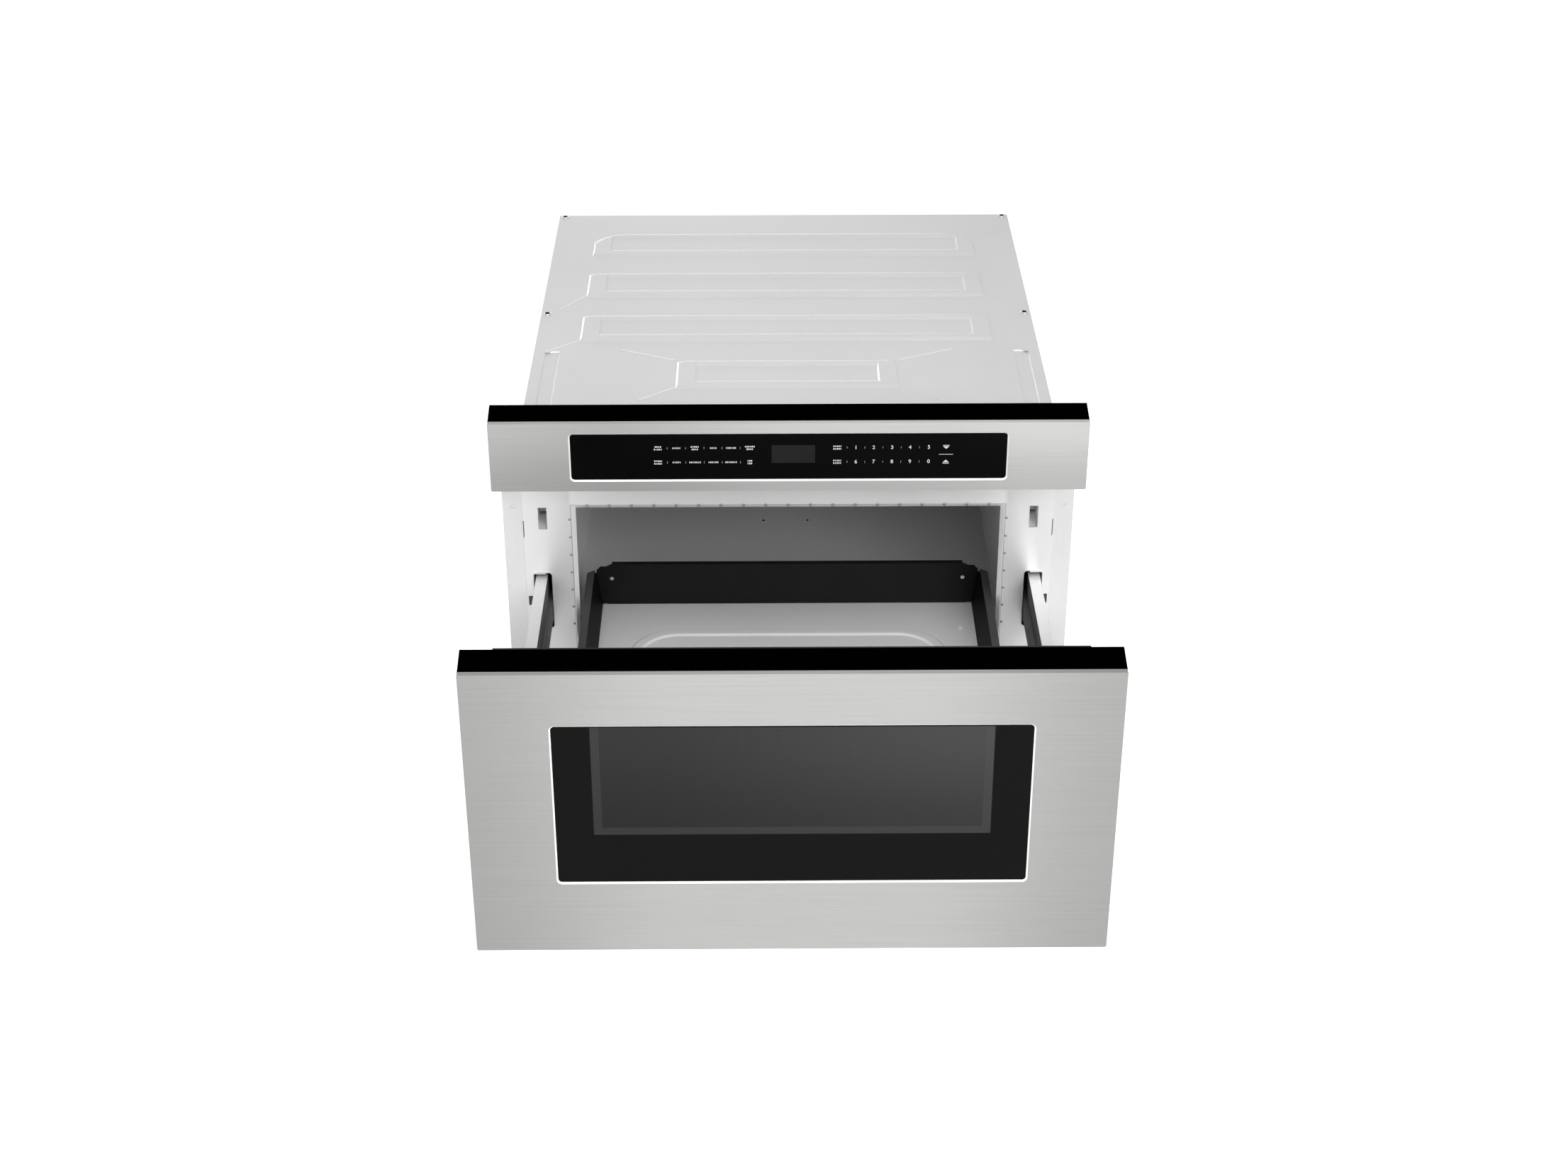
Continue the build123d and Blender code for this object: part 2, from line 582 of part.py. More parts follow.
def capacitor():
    """Oval high-voltage capacitor lying in its strap, with two terminals."""
    can = extrude(chamfer(rect((-27, 27), (-17, 17)).vertices(), 10), amount=CAPACITOR_LEN)
    clamp = Pos(0, 0, 34) * extrude(Rectangle(20, 40), amount=18)
    tabs = [Pos(x, 0, CAPACITOR_LEN) * Box(6, 1, 12, align=UP) for x in (-11, 11)]
    return Pos(-CASE_W / 4 + 97, (Y_GUIDE + Y_BACK) / 2, SHEET) * (can + clamp + tabs)


def fan_shroud():
    """Square fan plate with its round mouth and collar, standing on a foot."""
    half = FAN_R + FAN_FRAME
    mouth = RegularPolygon(FAN_R + 2, 18, major_radius=False)
    plate = Rectangle(2 * half, 2 * half) - mouth
    collar = RegularPolygon(FAN_R + 3.2, 18, major_radius=False) - mouth
    legs = rect((-half, half), (-FAN_Z + SHEET, -half)) - rect((-half + 14, half - 14), (-FAN_Z, -half))
    ring = extrude(Plane.YZ * (plate + legs), amount=1.5) + extrude(Plane.YZ * collar, amount=-22)
    return Pos(FAN_X, FAN_Y, FAN_Z) * ring


def fan_motor():
    """Shaded-pole fan motor: laminated stack, coil and the bracket to the shroud."""
    bore = Circle(FAN_SHAFT_R + RUNNING_GAP)
    stack = extrude(Plane.YZ * (Rectangle(46, 46) - bore), amount=-22)
    coil = Pos(-2, 0, -31) * extrude(Plane.YZ * Rectangle(30, 16), amount=-18)
    reach = FAN_R + FAN_FRAME - 1
    points = [(FAN_MOTOR_GAP, -reach), (0, -reach), (0, reach), (FAN_MOTOR_GAP, reach)]
    bow = extrude(bent(list(reversed(points)), SLIDE_T), amount=5, both=True)
    bow -= extrude(Plane.YZ * bore, amount=10)
    return Pos(FAN_X - FAN_MOTOR_GAP, FAN_Y, FAN_Z) * (stack + coil + bow)


def fan_blade():
    """Axial fan wheel on its shaft: hub and twisted blades."""
    hub = extrude(Plane.YZ * RegularPolygon(13, 2 * FAN_BLADES), amount=16, both=True)
    shaft = Pos(-FAN_MOTOR_GAP + 5, 0, 0) * extrude(Plane.YZ * Circle(FAN_SHAFT_R), amount=50)
    blade = extrude(rect((11, FAN_R), (-1, 1)), amount=9, both=True)
    twisted = Rot(38, 0, 0) * blade
    wheel = hub
    for k in range(FAN_BLADES):
        turn = Rot(360 * k / FAN_BLADES, 0, 0)
        wheel += turn * Rot(0, 0, 90) * twisted
    return Pos(FAN_X - 10, FAN_Y, FAN_Z) * (wheel + shaft)


def power_board():
    """Supply board on the left of the rear compartment: relays and a choke on standoffs."""
    board = span((0, 1.6), (-BOARD_W / 2, BOARD_W / 2), (0, BOARD_H))
    relays = [span((1.6, 19), (-34 + 26 * k, -14 + 26 * k), (60, 84)) for k in range(3)]
    coil = Pos(1.6, 10, 28) * extrude(Plane.YZ * RegularPolygon(15, 12), amount=16)
    post = extrude(Plane.YZ * Rectangle(6, 6), amount=-8)
    posts = [Pos(0, s * (BOARD_W / 2 - 6), z) * post for s in (-1, 1) for z in (6, BOARD_H - 6)]
    return Pos(-X_INSIDE + 8, FAN_Y, CASE_H * 0.42) * (board + relays + coil + posts)


def cavity_lamp():
    """Lamp in its holder on the liner's back sheet."""
    holder = extrude(Plane.XZ * Rectangle(34, 26), amount=-14)
    bulb = Pos(0, 14, 0) * extrude(Plane.XZ * RegularPolygon(9, 12), amount=-22)
    return Pos(CAVITY_W / 2 - LAMP_IN, Y_LINER + LINER, Z_CEILING - LAMP_DROP) * (holder + bulb)


# ---------------------------------------------------------------- steel pans and surrounds

def fascia(z_low, z_high, cut_out):
    """Steel pan between two heights, with its edges folded back and a bevelled cut-out."""
    half = FRONT_W / 2
    outer = rect((-half, half), (z_low, z_high))
    outer = chamfer(outer.vertices(), FRONT_CORNER)
    inner = grown(outer, -STEEL)
    face = along_y(outer - cut_out, (Y_FACE, Y_FACE + STEEL))
    edge = along_y(outer - inner, (Y_FACE + STEEL, Y_FACE + STEEL_RETURN))
    rim = Plane.XZ.offset(-Y_FACE) * offset(cut_out, amount=EDGE_BEVEL)
    bevel = extrude(rim, amount=-EDGE_BEVEL, taper=45)
    return face - bevel + edge


def trim(z_low, z_high):
    """Black surround behind a steel pan: four walls that widen towards the back."""
    half = FRONT_W / 2
    front = Plane.XZ.offset(-(Y_FACE + STEEL_RETURN))
    back = Plane.XZ.offset(-Y_TRIM)
    small = rect((-half, half), (z_low, z_high))
    large = rect((-half - TRIM_FLARE, half + TRIM_FLARE), (z_low, z_high))
    solid = loft([front * small, back * large])
    hollow = rect((-half + TRIM_WALL, half - TRIM_WALL), (z_low + TRIM_WALL, z_high - TRIM_WALL))
    return solid - along_y(hollow, (Y_FACE, Y_TRIM + 1))


def touch_outline(grow=0.0):
    """Outline of the touch panel's cut-out, or larger by grow."""
    x, z = TOUCH_W / 2 + grow, TOUCH_H / 2 + grow
    return Pos(0, Z_PANEL - PANEL_H / 2) * RectangleRounded(2 * x, 2 * z, TOUCH_R)


def window_outline(grow=0.0):
    """Outline of the drawer window's cut-out, or larger by grow."""
    z = Z_DRAWER - WINDOW_DROP - WINDOW_H / 2
    return Pos(0, z) * RectangleRounded(WINDOW_W + 2 * grow, WINDOW_H + 2 * grow, WINDOW_R)


def screen_outline(grow=0.0):
    """Outline of the screen opening in the drawer's inner panel, or larger by grow."""
    z = Z_TRAY + 2 + SCREEN_H / 2
    return Pos(0, z) * RectangleRounded(SCREEN_W + 2 * grow, SCREEN_H + 2 * grow, 5)


def control_panel():
    """Steel pan, surround, touch glass, display, board and the carrier behind them."""
    z = (Z_PANEL - PANEL_H, Z_PANEL)
    back_of_steel = Y_FACE + STEEL
    back_of_glass = back_of_steel + GLASS_T
    display = Pos(DISPLAY_X, Z_PANEL - PANEL_H / 2 + 2.5) * Rectangle(DISPLAY_W, DISPLAY_H)
    board = Pos(0, Z_PANEL - PANEL_H / 2) * Rectangle(TOUCH_W - 20, TOUCH_H - 6)
    chips = Pos(0, Z_PANEL - PANEL_H / 2) * GridLocations(TOUCH_W / 4, 0, 3, 1) * Rectangle(26, 14)
    y_board = back_of_glass + 4
    circuit = along_y(board, (y_board, y_board + 1.6)) + along_y(Sketch() + chips, (y_board, y_board + 7))
    circuit += along_y(display, (back_of_glass, y_board))
    inside = FRONT_W / 2 - TRIM_WALL
    carrier = [(z[0] + TRIM_WALL, Y_TRIM), (z[1] - TRIM_WALL, Y_TRIM)]
    plate = span((-inside, inside), (Y_TRIM - SHEET, Y_TRIM), (carrier[0][0], carrier[1][0]))
    hat = [(Y_TRIM, z[0] + 20), (Y_FRAME, z[0] + 20), (Y_FRAME, z[1] - 20), (Y_TRIM, z[1] - 20)]
    bracket = along_x(bent(hat, SHEET), (-CASE_W / 2 + 20, CASE_W / 2 - 20))
    return {
        "control_panel_fascia": fascia(*z, touch_outline()),
        "control_panel_trim": trim(*z),
        "touch_glass": along_y(touch_outline(GLASS_LAP), (back_of_steel, back_of_glass)),
        "control_board": circuit,
        "panel_bracket": plate + bracket,
    }


# ---------------------------------------------------------------- drawer

def inner_panel():
    """Inner panel of the drawer front: a shallow pan with the screen opening."""
    half = INNER_PANEL_W / 2
    outer = rect((-half, half), (Z_DRAWER_LOW + 1, Z_DRAWER - 1))
    inner = grown(outer, -SHEET)
    face = along_y(outer - screen_outline(), (Y_INNER - SHEET, Y_INNER))
    return face + along_y(outer - inner, (Y_INNER - INNER_PANEL_T, Y_INNER))


def drawer_back_plate():
    """Flat plate inside the back of the surround, with the screen opening."""
    half = FRONT_W / 2 - TRIM_WALL
    outer = rect((-half, half), (Z_DRAWER_LOW + TRIM_WALL, Z_DRAWER - TRIM_WALL))
    return along_y(outer - screen_outline(8), (Y_TRIM - SHEET, Y_TRIM))


def choke_cover():
    """Raised cover that enters the cavity opening, with a narrower screen opening."""
    half = OPENING_W / 2 - CHOKE_GAP
    outer = rect((-half, half), (Z_OPEN + CHOKE_GAP, Z_OPEN_TOP - CHOKE_GAP), 4)
    plate = outer - screen_outline(-SCREEN_BAND)
    return along_y(plate, (Y_INNER, Y_CHOKE))


def tray_floor():
    """Tray floor with folded edges and the pressed ridge."""
    half = TRAY_W / 2
    top = Z_TRAY
    points = [(-half, top - 5), (-half, top), (half, top), (half, top - 5)]
    pan = along_y(bent(list(reversed(points)), TRAY_SHEET), (Y_CHOKE, Y_TRAY_BACK))
    y = (Y_CHOKE + RIDGE_INSET, Y_TRAY_BACK - RIDGE_INSET)
    outline = rect((-RIDGE_W / 2, RIDGE_W / 2), y, RIDGE_R)
    bank = extrude(Pos(0, 0, top) * outline, amount=RIDGE_H, taper=60)
    hollow = offset(outline, amount=-RIDGE_BAND)
    bank -= extrude(Pos(0, 0, top + RIDGE_H) * offset(hollow, amount=RIDGE_H * tan(radians(60))),
                    amount=-RIDGE_H, taper=60)
    return pan + bank


def tray_back():
    """Back wall of the tray with cut corners, a flange and a folded hem along its top."""
    half = TRAY_BACK_W / 2
    low, top = Z_TRAY, Z_TRAY + TRAY_BACK_H
    points = [(-half, low), (half, low), (half, top - 3), (half - 6, top), (6 - half, top), (-half, top - 3)]
    outline = make_face(Polyline(*points, close=True).edges())
    plate = along_y(outline, (Y_TRAY_BACK, Y_TRAY_BACK + TRAY_SHEET))
    flange = span((6 - half, half - 6), (Y_TRAY_BACK, Y_TRAY_BACK + 6), (top - TRAY_SHEET, top))
    hem = span((6 - half, half - 6), (Y_TRAY_BACK - 0.8, Y_TRAY_BACK), (top - TRAY_HEM, top))
    return plate + flange + hem


def tray_side():
    """Right side wall: leaning web, flat rim and a short lip, cut off slanting at the rear."""
    foot = TRAY_W / 2
    lean = TRAY_LEAN / TRAY_WALL_H
    low = Z_TRAY - 5
    rim_z = Z_TRAY + TRAY_WALL_H
    rim_x = foot + TRAY_LEAN + TRAY_RIM
    points = [(foot - 5 * lean, low), (foot + TRAY_LEAN, rim_z), (rim_x, rim_z), (rim_x, rim_z - 8)]
    wall = along_y(bent(list(reversed(points)), SHEET), (Y_CHOKE, Y_TRAY_BACK + TRAY_SHEET))
    rear = Y_TRAY_BACK + TRAY_SHEET + 1
    cut = [(foot + TRAY_LEAN - 2, Y_TRAY_BACK - 7), (rim_x + 1, Y_TRAY_BACK - 16), (rim_x + 1, rear)]
    cut += [(foot + TRAY_LEAN - 2, rear)]
    corner = along_z(make_face(Polyline(*cut, close=True).edges()), (rim_z - 9, rim_z + 1))
    floor_side = span((0, foot), (Y_CHOKE - 1, Y_TRAY_BACK + 5), (low - 1, Z_TRAY))
    return wall - corner - floor_side


def tray_corner():
    """Right rear corner plate and the guide block beside it on the side wall."""
    foot = TRAY_W / 2
    lean = TRAY_LEAN / TRAY_WALL_H
    top = TRAY_BACK_H - TRAY_CORNER_DROP
    height = TRAY_WALL_H - 6.4
    edge = TRAY_BACK_W / 2 - 14
    points = [(edge, Z_TRAY), (foot, Z_TRAY), (foot + lean * height, Z_TRAY + height)]
    points += [(foot + 1.5, Z_TRAY + top), (edge, Z_TRAY + top)]
    face = make_face(Polyline(*points, close=True).edges())
    y = Y_TRAY_BACK + TRAY_SHEET
    plate = along_y(face, (y, y + SHEET))
    low, high = Z_TRAY + 12, Z_TRAY + 36
    inner = foot + lean * (high - Z_TRAY) + SHEET
    outer = foot + TRAY_LEAN + TRAY_RIM + 1.5
    guide = span((inner, outer), (Y_TRAY_BACK - 30, Y_TRAY_BACK - 4), (low, high))
    return plate + guide


def tray_rivets():
    """Rivet heads at both ends of the back wall."""
    head = extrude(Plane.XZ * RegularPolygon(2.2, 12), amount=0.8)
    z = Z_TRAY + TRAY_BACK_H * 0.65
    return Compound(children=[Pos(s * (TRAY_BACK_W / 2 - 5.5), Y_TRAY_BACK, z) * head for s in (-1, 1)])


# ---------------------------------------------------------------- slides

def slide_fixed():
    """Right fixed member: channel on the case side, open towards the cavity."""
    z = (SLIDE_Z - FIXED_H / 2, SLIDE_Z + FIXED_H / 2)
    y = (Y_FRAME + SHEET, Y_FRAME + SHEET + SLIDE_LEN)
    return channel(X_INSIDE, X_INNER + SLIDE_T, *z, SLIDE_T, y)


def slide_middle():
    """Right middle member, nested in the fixed one."""
    z = (SLIDE_Z - MIDDLE_H / 2, SLIDE_Z + MIDDLE_H / 2)
    return channel(X_MIDDLE, X_INNER, *z, SLIDE_T, (Y_FRAME + 3, Y_FRAME + 3 + SLIDE_LEN))


def slide_inner():
    """Right inner member, nested in the middle one with its web towards the tray."""
    z = (SLIDE_Z + INNER_H / 2, SLIDE_Z - INNER_H / 2)
    return channel(X_INNER, X_INNER + INNER_W, *z, SLIDE_T, (Y_INNER, Y_INNER + SLIDE_LEN))


def roller_row(z_out, z_in, x, y_first):
    """Rollers on their retainer strip, filling the gap between two nested flanges."""
    radius = abs(z_out - z_in) / 2 - ROLLER_GAP
    roller = along_x(RegularPolygon(radius, ROLLER_FLATS), x)
    rollers = [Pos(0, ROLLER_PITCH * k, 0) * roller for k in range(ROLLER_COUNT)]
    strip = span(x, (0, ROLLER_PITCH * (ROLLER_COUNT - 1)), (-RETAINER_T / 2, RETAINER_T / 2))
    return Pos(0, y_first, (z_out + z_in) / 2) * (strip + rollers)


def slide_rollers():
    """Right roller rows, outside and inside the middle member, above and below."""
    x_outer = (X_INNER + SLIDE_T + 1, X_MIDDLE - SLIDE_T)
    x_inner = (X_INNER + SLIDE_T + 0.3, X_INNER + INNER_W - 0.3)
    outer = (FIXED_H / 2 - SLIDE_T, MIDDLE_H / 2)
    inner = (MIDDLE_H / 2 - SLIDE_T, INNER_H / 2)
    y_outer = Y_FRAME + 3 + TRAVEL / 2
    rows = []
    for s in (-1, 1):
        rows.append(roller_row(SLIDE_Z + s * outer[0], SLIDE_Z + s * outer[1], x_outer, y_outer))
        rows.append(roller_row(SLIDE_Z + s * inner[0], SLIDE_Z + s * inner[1], x_inner, Y_INNER + 2))
    return Compound(children=rows)


def slide_arm():
    """Right carrier channel on the web of the inner member, fixed to the inner panel."""
    z = SLIDE_Z - INNER_H / 2 + 1
    return channel(X_INNER - ARM_W, X_INNER, z + ARM_H, z, SLIDE_T, (Y_INNER, Y_INNER + ARM_LEN))


# ---------------------------------------------------------------- latches

def latch_hook():
    """Right latch hook on the inner panel: a flat arm with its tip turned down."""
    y = Y_INNER
    points = [(y, -6), (y, 8), (y + LATCH_LEN - 6, 6), (y + LATCH_LEN, 2), (y + LATCH_LEN, -9)]
    points += [(y + LATCH_LEN - 8, -9), (y + LATCH_LEN - 8, -3), (y + 6, -3)]
    outline = make_face(Polyline(*points, close=True).edges())
    arm = along_x(outline, (-LATCH_T / 2, LATCH_T / 2))
    return Pos(LATCH_SLOT_X, 0, LATCH_SLOT_Z) * arm


def latch_housing():
    """Right latch housing: a box behind the latch slot, with the lever's pin and two switches."""
    z = (LATCH_SLOT_Z - LATCH_SLOT_H / 2 - 0.5, LATCH_SLOT_Z + LATCH_SLOT_H / 2 + 12)
    inside = rect((X_HOUSING, X_HOUSING + HOUSING_W), z)
    outside = grown(inside, HOUSING_T)
    y_back = Y_FRAME + SHEET + HOUSING_DEPTH
    walls = along_y(outside - inside, (Y_FRAME + SHEET, y_back))
    walls += along_y(outside, (y_back, y_back + HOUSING_T))
    pin_x = (X_HOUSING - HOUSING_T, X_HOUSING + HOUSING_W + HOUSING_T)
    pin = Pos(0, Y_LEVER, Z_LEVER) * along_x(Circle(LEVER_PIN_R), pin_x)
    y_switch = (y_back + HOUSING_T, y_back + HOUSING_T + 16)
    x_switch = (X_HOUSING, X_HOUSING + 10)
    switches = [span(x_switch, y_switch, (z[0] + rise, z[0] + rise + 17)) for rise in (0, 20)]
    return walls + pin + switches


def latch_lever():
    """Right switch lever, hung on the housing's pin behind the hook."""
    eye = Rectangle(8, 8) - Circle(LEVER_PIN_R + RUNNING_GAP)
    plate = rect((-LEVER_T / 2, LEVER_T / 2), (-28, -4))
    lever = along_x(eye + plate, (X_HOUSING + 0.5, X_HOUSING + HOUSING_W - 0.5))
    return Pos(0, Y_LEVER, Z_LEVER) * lever


# ---------------------------------------------------------------- rack drive

def rack():
    """Toothed rack under the drawer, teeth down, butted on the inner panel."""
    pitch = pi * MODULE
    slope = tan(radians(PRESSURE_ANGLE))
    half = pitch / 4 - BACKLASH / 2
    tip, root = MODULE, 1.25 * MODULE
    tooth = [(-half - root * slope, root), (-half + tip * slope, -tip)]
    tooth += [(half - tip * slope, -tip), (half + root * slope, root)]
    profile = make_face(Polyline(*tooth, close=True).edges())
    first = Y_PINION + TRAVEL - RACK_AT_REST * pitch
    bar = rect((Y_INNER, Y_INNER + RACK_LEN), (root, root + RACK_BODY))
    row = [Pos(first + k * pitch, 0) * profile for k in range(RACK_TEETH)]
    return Pos(0, 0, RACK_Z) * along_x(bar + row, (-RACK_W / 2, RACK_W / 2))


def involute(radius, angle):
    """Point of the involute of a circle at a roll angle."""
    return (radius * (cos(angle) + angle * sin(angle)), radius * (sin(angle) - angle * cos(angle)))


def pinion_face():
    """Involute outline of the drive pinion, one tooth space straight up."""
    pitch_r = MODULE * PINION_TEETH / 2
    base_r = pitch_r * cos(radians(PRESSURE_ANGLE))
    tip_r, root_r = pitch_r + MODULE, pitch_r - 1.25 * MODULE
    tip_roll = ((tip_r / base_r) ** 2 - 1) ** 0.5
    inv = tan(radians(PRESSURE_ANGLE)) - radians(PRESSURE_ANGLE)
    half_angle = pi / (2 * PINION_TEETH) - BACKLASH / (4 * pitch_r) + inv
    steps = 2
    flank = [involute(base_r, tip_roll * k / steps) for k in range(steps + 1)]
    lower = [(x * cos(half_angle) + y * sin(half_angle), y * cos(half_angle) - x * sin(half_angle))
             for x, y in flank]
    foot = (root_r * cos(half_angle), -root_r * sin(half_angle))
    upper = [(x, -y) for x, y in reversed(lower)]
    outline = [foot] + lower + upper + [(foot[0], -foot[1])]
    tooth = make_face(Polyline(*outline, close=True).edges())
    wheel = Rot(0, 0, 180 / PINION_TEETH) * RegularPolygon(root_r, PINION_TEETH)
    for k in range(PINION_TEETH):
        wheel += Rot(0, 0, 90 + (k + 0.5) * 360 / PINION_TEETH) * tooth
    return wheel


def drive_pinion():
    """Pinion on its shaft, meshing with the rack from below."""
    wheel = along_x(pinion_face(), (-RACK_W / 2 + 0.5, RACK_W / 2 - 0.5))
    shaft = along_x(Circle(SHAFT_R), (-14, 16))
    return Pos(0, Y_PINION, Z_PINION) * (wheel + shaft)


def drive_bracket():
    """Folded bracket on the case floor that carries the pinion shaft on both sides."""
    x = (-11.0, 8.0)
    top = RACK_Z + 2
    points = [(x[0], top), (x[0], SHEET), (x[1], SHEET), (x[1], top)]
    bracket = along_y(bent(points, SLIDE_T), (Y_PINION - 28, Y_PINION + 28))
    bore = Pos(0, Y_PINION, Z_PINION) * along_x(Circle(SHAFT_R + RUNNING_GAP), (x[0] - 1, x[1] + 1))
    return bracket - bore


def drive_motor():
    """Gear motor on the bracket: gearbox and motor can."""
    bore = Circle(SHAFT_R + RUNNING_GAP)
    box = along_x(Rectangle(54, 50) - bore, (8, 17)) + along_x(Rectangle(54, 50), (17, 34))
    can = along_x(RegularPolygon(18, 16), (34, 90))
    return Pos(0, Y_PINION, Z_PINION) * (box + can)


# ---------------------------------------------------------------- assembly

def case_nodes():
    """All pieces that stand still."""
    floor, ceiling, back, side = cavity_sheets()
    nodes = {
        "case_base": case_base(),
        "case_top": case_top(),
        "case_back": case_back(),
        "case_screws": case_screws(),
        "cord_gland": cord_gland(),
        "front_frame": front_frame(),
        "mounting_flanges": both(mounting_flange()),
        "cavity_floor": floor,
        "cavity_ceiling": ceiling,
        "cavity_back": back,
        "cavity_sides": both(side),
        "stirrer_cover": stirrer_cover(),
        "stirrer_dome": stirrer_dome(),
        "stirrer_motor": stirrer_motor(),
        "waveguide": waveguide(),
        "magnetron": magnetron(),
        "transformer": transformer(),
        "capacitor": capacitor(),
        "fan_shroud": fan_shroud(),
        "fan_motor": fan_motor(),
        "power_board": power_board(),
        "cavity_lamp": cavity_lamp(),
        "drive_bracket": drive_bracket(),
        "drive_motor": drive_motor(),
        "latch_switches": both(latch_housing()),
    }
    nodes.update(control_panel())
    nodes.update(pair("case_side", case_side()))
    nodes.update(pair("slide_fixed", slide_fixed()))
    return nodes


def drawer_nodes():
    """All pieces of the drawer, drawn shut."""
    z = (Z_DRAWER_LOW, Z_DRAWER)
    back_of_steel = Y_FACE + STEEL
    nodes = {
        "drawer_fascia": fascia(*z, window_outline()),
        "drawer_trim": trim(*z),
        "window_glass": along_y(window_outline(GLASS_LAP), (back_of_steel, back_of_steel + GLASS_T)),
        "window_screen": along_y(screen_outline(6), (Y_INNER - 2 * SHEET, Y_INNER - SHEET)),
        "drawer_back_plate": drawer_back_plate(),
        "drawer_inner_panel": inner_panel(),
        "choke_cover": choke_cover(),
        "tray_floor": tray_floor(),
        "tray_back": tray_back(),
        "tray_rivets": tray_rivets(),
        "tray_sides": both(tray_side()),
        "tray_corners": both(tray_corner()),
        "slide_arms": both(slide_arm()),
        "latch_hooks": both(latch_hook()),
        "drive_rack": rack(),
    }
    nodes.update(pair("slide_inner", slide_inner()))
    return nodes


def all_nodes():
    """Every node in its place with the drawer pulled out."""
    nodes = case_nodes()
    nodes.update(pair("latch_lever", latch_lever()))
    nodes["stirrer"] = stirrer()
    nodes["fan_blade"] = fan_blade()
    nodes["drive_pinion"] = drive_pinion()
    for name, shape in drawer_nodes().items():
        nodes[name] = Pos(0, -TRAVEL, 0) * shape
    middle = pair("slide_middle", slide_middle())
    middle.update(pair("slide_rollers", slide_rollers()))
    for name, shape in middle.items():
        nodes[name] = Pos(0, -TRAVEL / 2, 0) * shape
    return nodes


os.makedirs("parts", exist_ok=True)
for node_name, node_shape in all_nodes().items():
    export_step(node_shape, f"parts/{node_name}.step")
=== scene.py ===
"""Looks of the microwave drawer: materials, fine pieces and a studio round the CAD model."""

import json
import math

import bmesh
import bpy
from mathutils import Matrix, Vector

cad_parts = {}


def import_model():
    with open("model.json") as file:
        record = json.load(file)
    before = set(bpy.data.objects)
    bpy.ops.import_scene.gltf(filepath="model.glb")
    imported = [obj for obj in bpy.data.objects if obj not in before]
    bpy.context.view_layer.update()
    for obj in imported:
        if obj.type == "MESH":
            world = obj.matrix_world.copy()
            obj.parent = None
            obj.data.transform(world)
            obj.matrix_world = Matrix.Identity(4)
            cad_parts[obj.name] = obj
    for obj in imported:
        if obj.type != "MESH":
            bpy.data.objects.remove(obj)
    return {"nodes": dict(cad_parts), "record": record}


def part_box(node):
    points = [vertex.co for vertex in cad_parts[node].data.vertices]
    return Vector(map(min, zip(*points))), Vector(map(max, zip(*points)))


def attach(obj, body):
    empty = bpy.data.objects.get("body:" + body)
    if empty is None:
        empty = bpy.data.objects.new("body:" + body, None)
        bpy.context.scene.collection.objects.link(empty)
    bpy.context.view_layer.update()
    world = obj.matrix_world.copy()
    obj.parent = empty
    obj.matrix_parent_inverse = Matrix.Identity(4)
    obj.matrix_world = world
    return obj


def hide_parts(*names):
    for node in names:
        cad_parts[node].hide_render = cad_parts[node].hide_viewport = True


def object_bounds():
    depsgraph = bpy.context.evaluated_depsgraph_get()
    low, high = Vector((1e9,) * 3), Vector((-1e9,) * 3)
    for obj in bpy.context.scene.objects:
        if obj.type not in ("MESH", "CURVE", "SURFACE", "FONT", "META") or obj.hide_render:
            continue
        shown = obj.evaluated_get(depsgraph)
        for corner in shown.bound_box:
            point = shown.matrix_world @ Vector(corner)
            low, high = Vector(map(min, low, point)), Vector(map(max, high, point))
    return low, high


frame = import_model()
cad_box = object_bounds()
NODES = frame["nodes"]
RECORD = frame["record"]


# ------------------------------------------------------------------ places, from the frame

MM = 0.001
TOUCH_LOW, TOUCH_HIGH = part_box("touch_glass")
TOUCH_Z = (TOUCH_LOW[2] + TOUCH_HIGH[2]) / 2
Y_GLASS = TOUCH_LOW[1]                     # front face of the touch glass
Y_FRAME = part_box("front_frame")[0][1]
Y_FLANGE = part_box("mounting_flanges")[0][1]
WINDOW_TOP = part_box("window_glass")[1][2]
TRAY_SIDE_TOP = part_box("tray_sides")[1][2]
TRAY_FLOOR_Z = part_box("tray_floor")[1][2] - 2 * MM     # under the pressed ridge
CAVITY_FLOOR_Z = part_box("cavity_floor")[1][2]

CHOKE_GAP = 3.2 * MM                       # round the choke cover in the opening
OPENING_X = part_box("choke_cover")[1][0] + CHOKE_GAP
OPENING_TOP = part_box("choke_cover")[1][2] + CHOKE_GAP
RIM_X = OPENING_X + 4.6 * MM               # rolled edge of the opening
RIM_TOP = OPENING_TOP + 4.2 * MM
RIM_FOOT = 30 * MM

VIEW_X = 185.7 * MM                        # what shows of the window screen
VIEW_LOW = 124 * MM
VIEW_HIGH = 243.5 * MM
VIEW_BAND = 8 * MM                         # its inner frame

GLASS_LAP = 4 * MM                         # glass behind the edge of its cut-out
CUT_RADIUS = 3.8 * MM                      # corners of the cut-outs in both fronts
CUT_POLISH_HIGHLIGHT = 1.4 * MM                      # width of their polished edge, painted near white as a painted highlight


# ------------------------------------------------------------------ node helpers

NOISE_BAND = (0.3, 0.7)                    # where the values of a noise mostly lie
FINE = 0.02 * MM                           # depth of a fine surface grain


def srgb(*levels):
    """Linear colour from display levels, 0 to 255; one level is a grey."""
    out = []
    for level in levels:
        c = level / 255
        out.append(c / 12.92 if c <= 0.04045 else ((c + 0.055) / 1.055) ** 2.4)
    return tuple(out) if len(out) == 3 else (out[0],) * 3


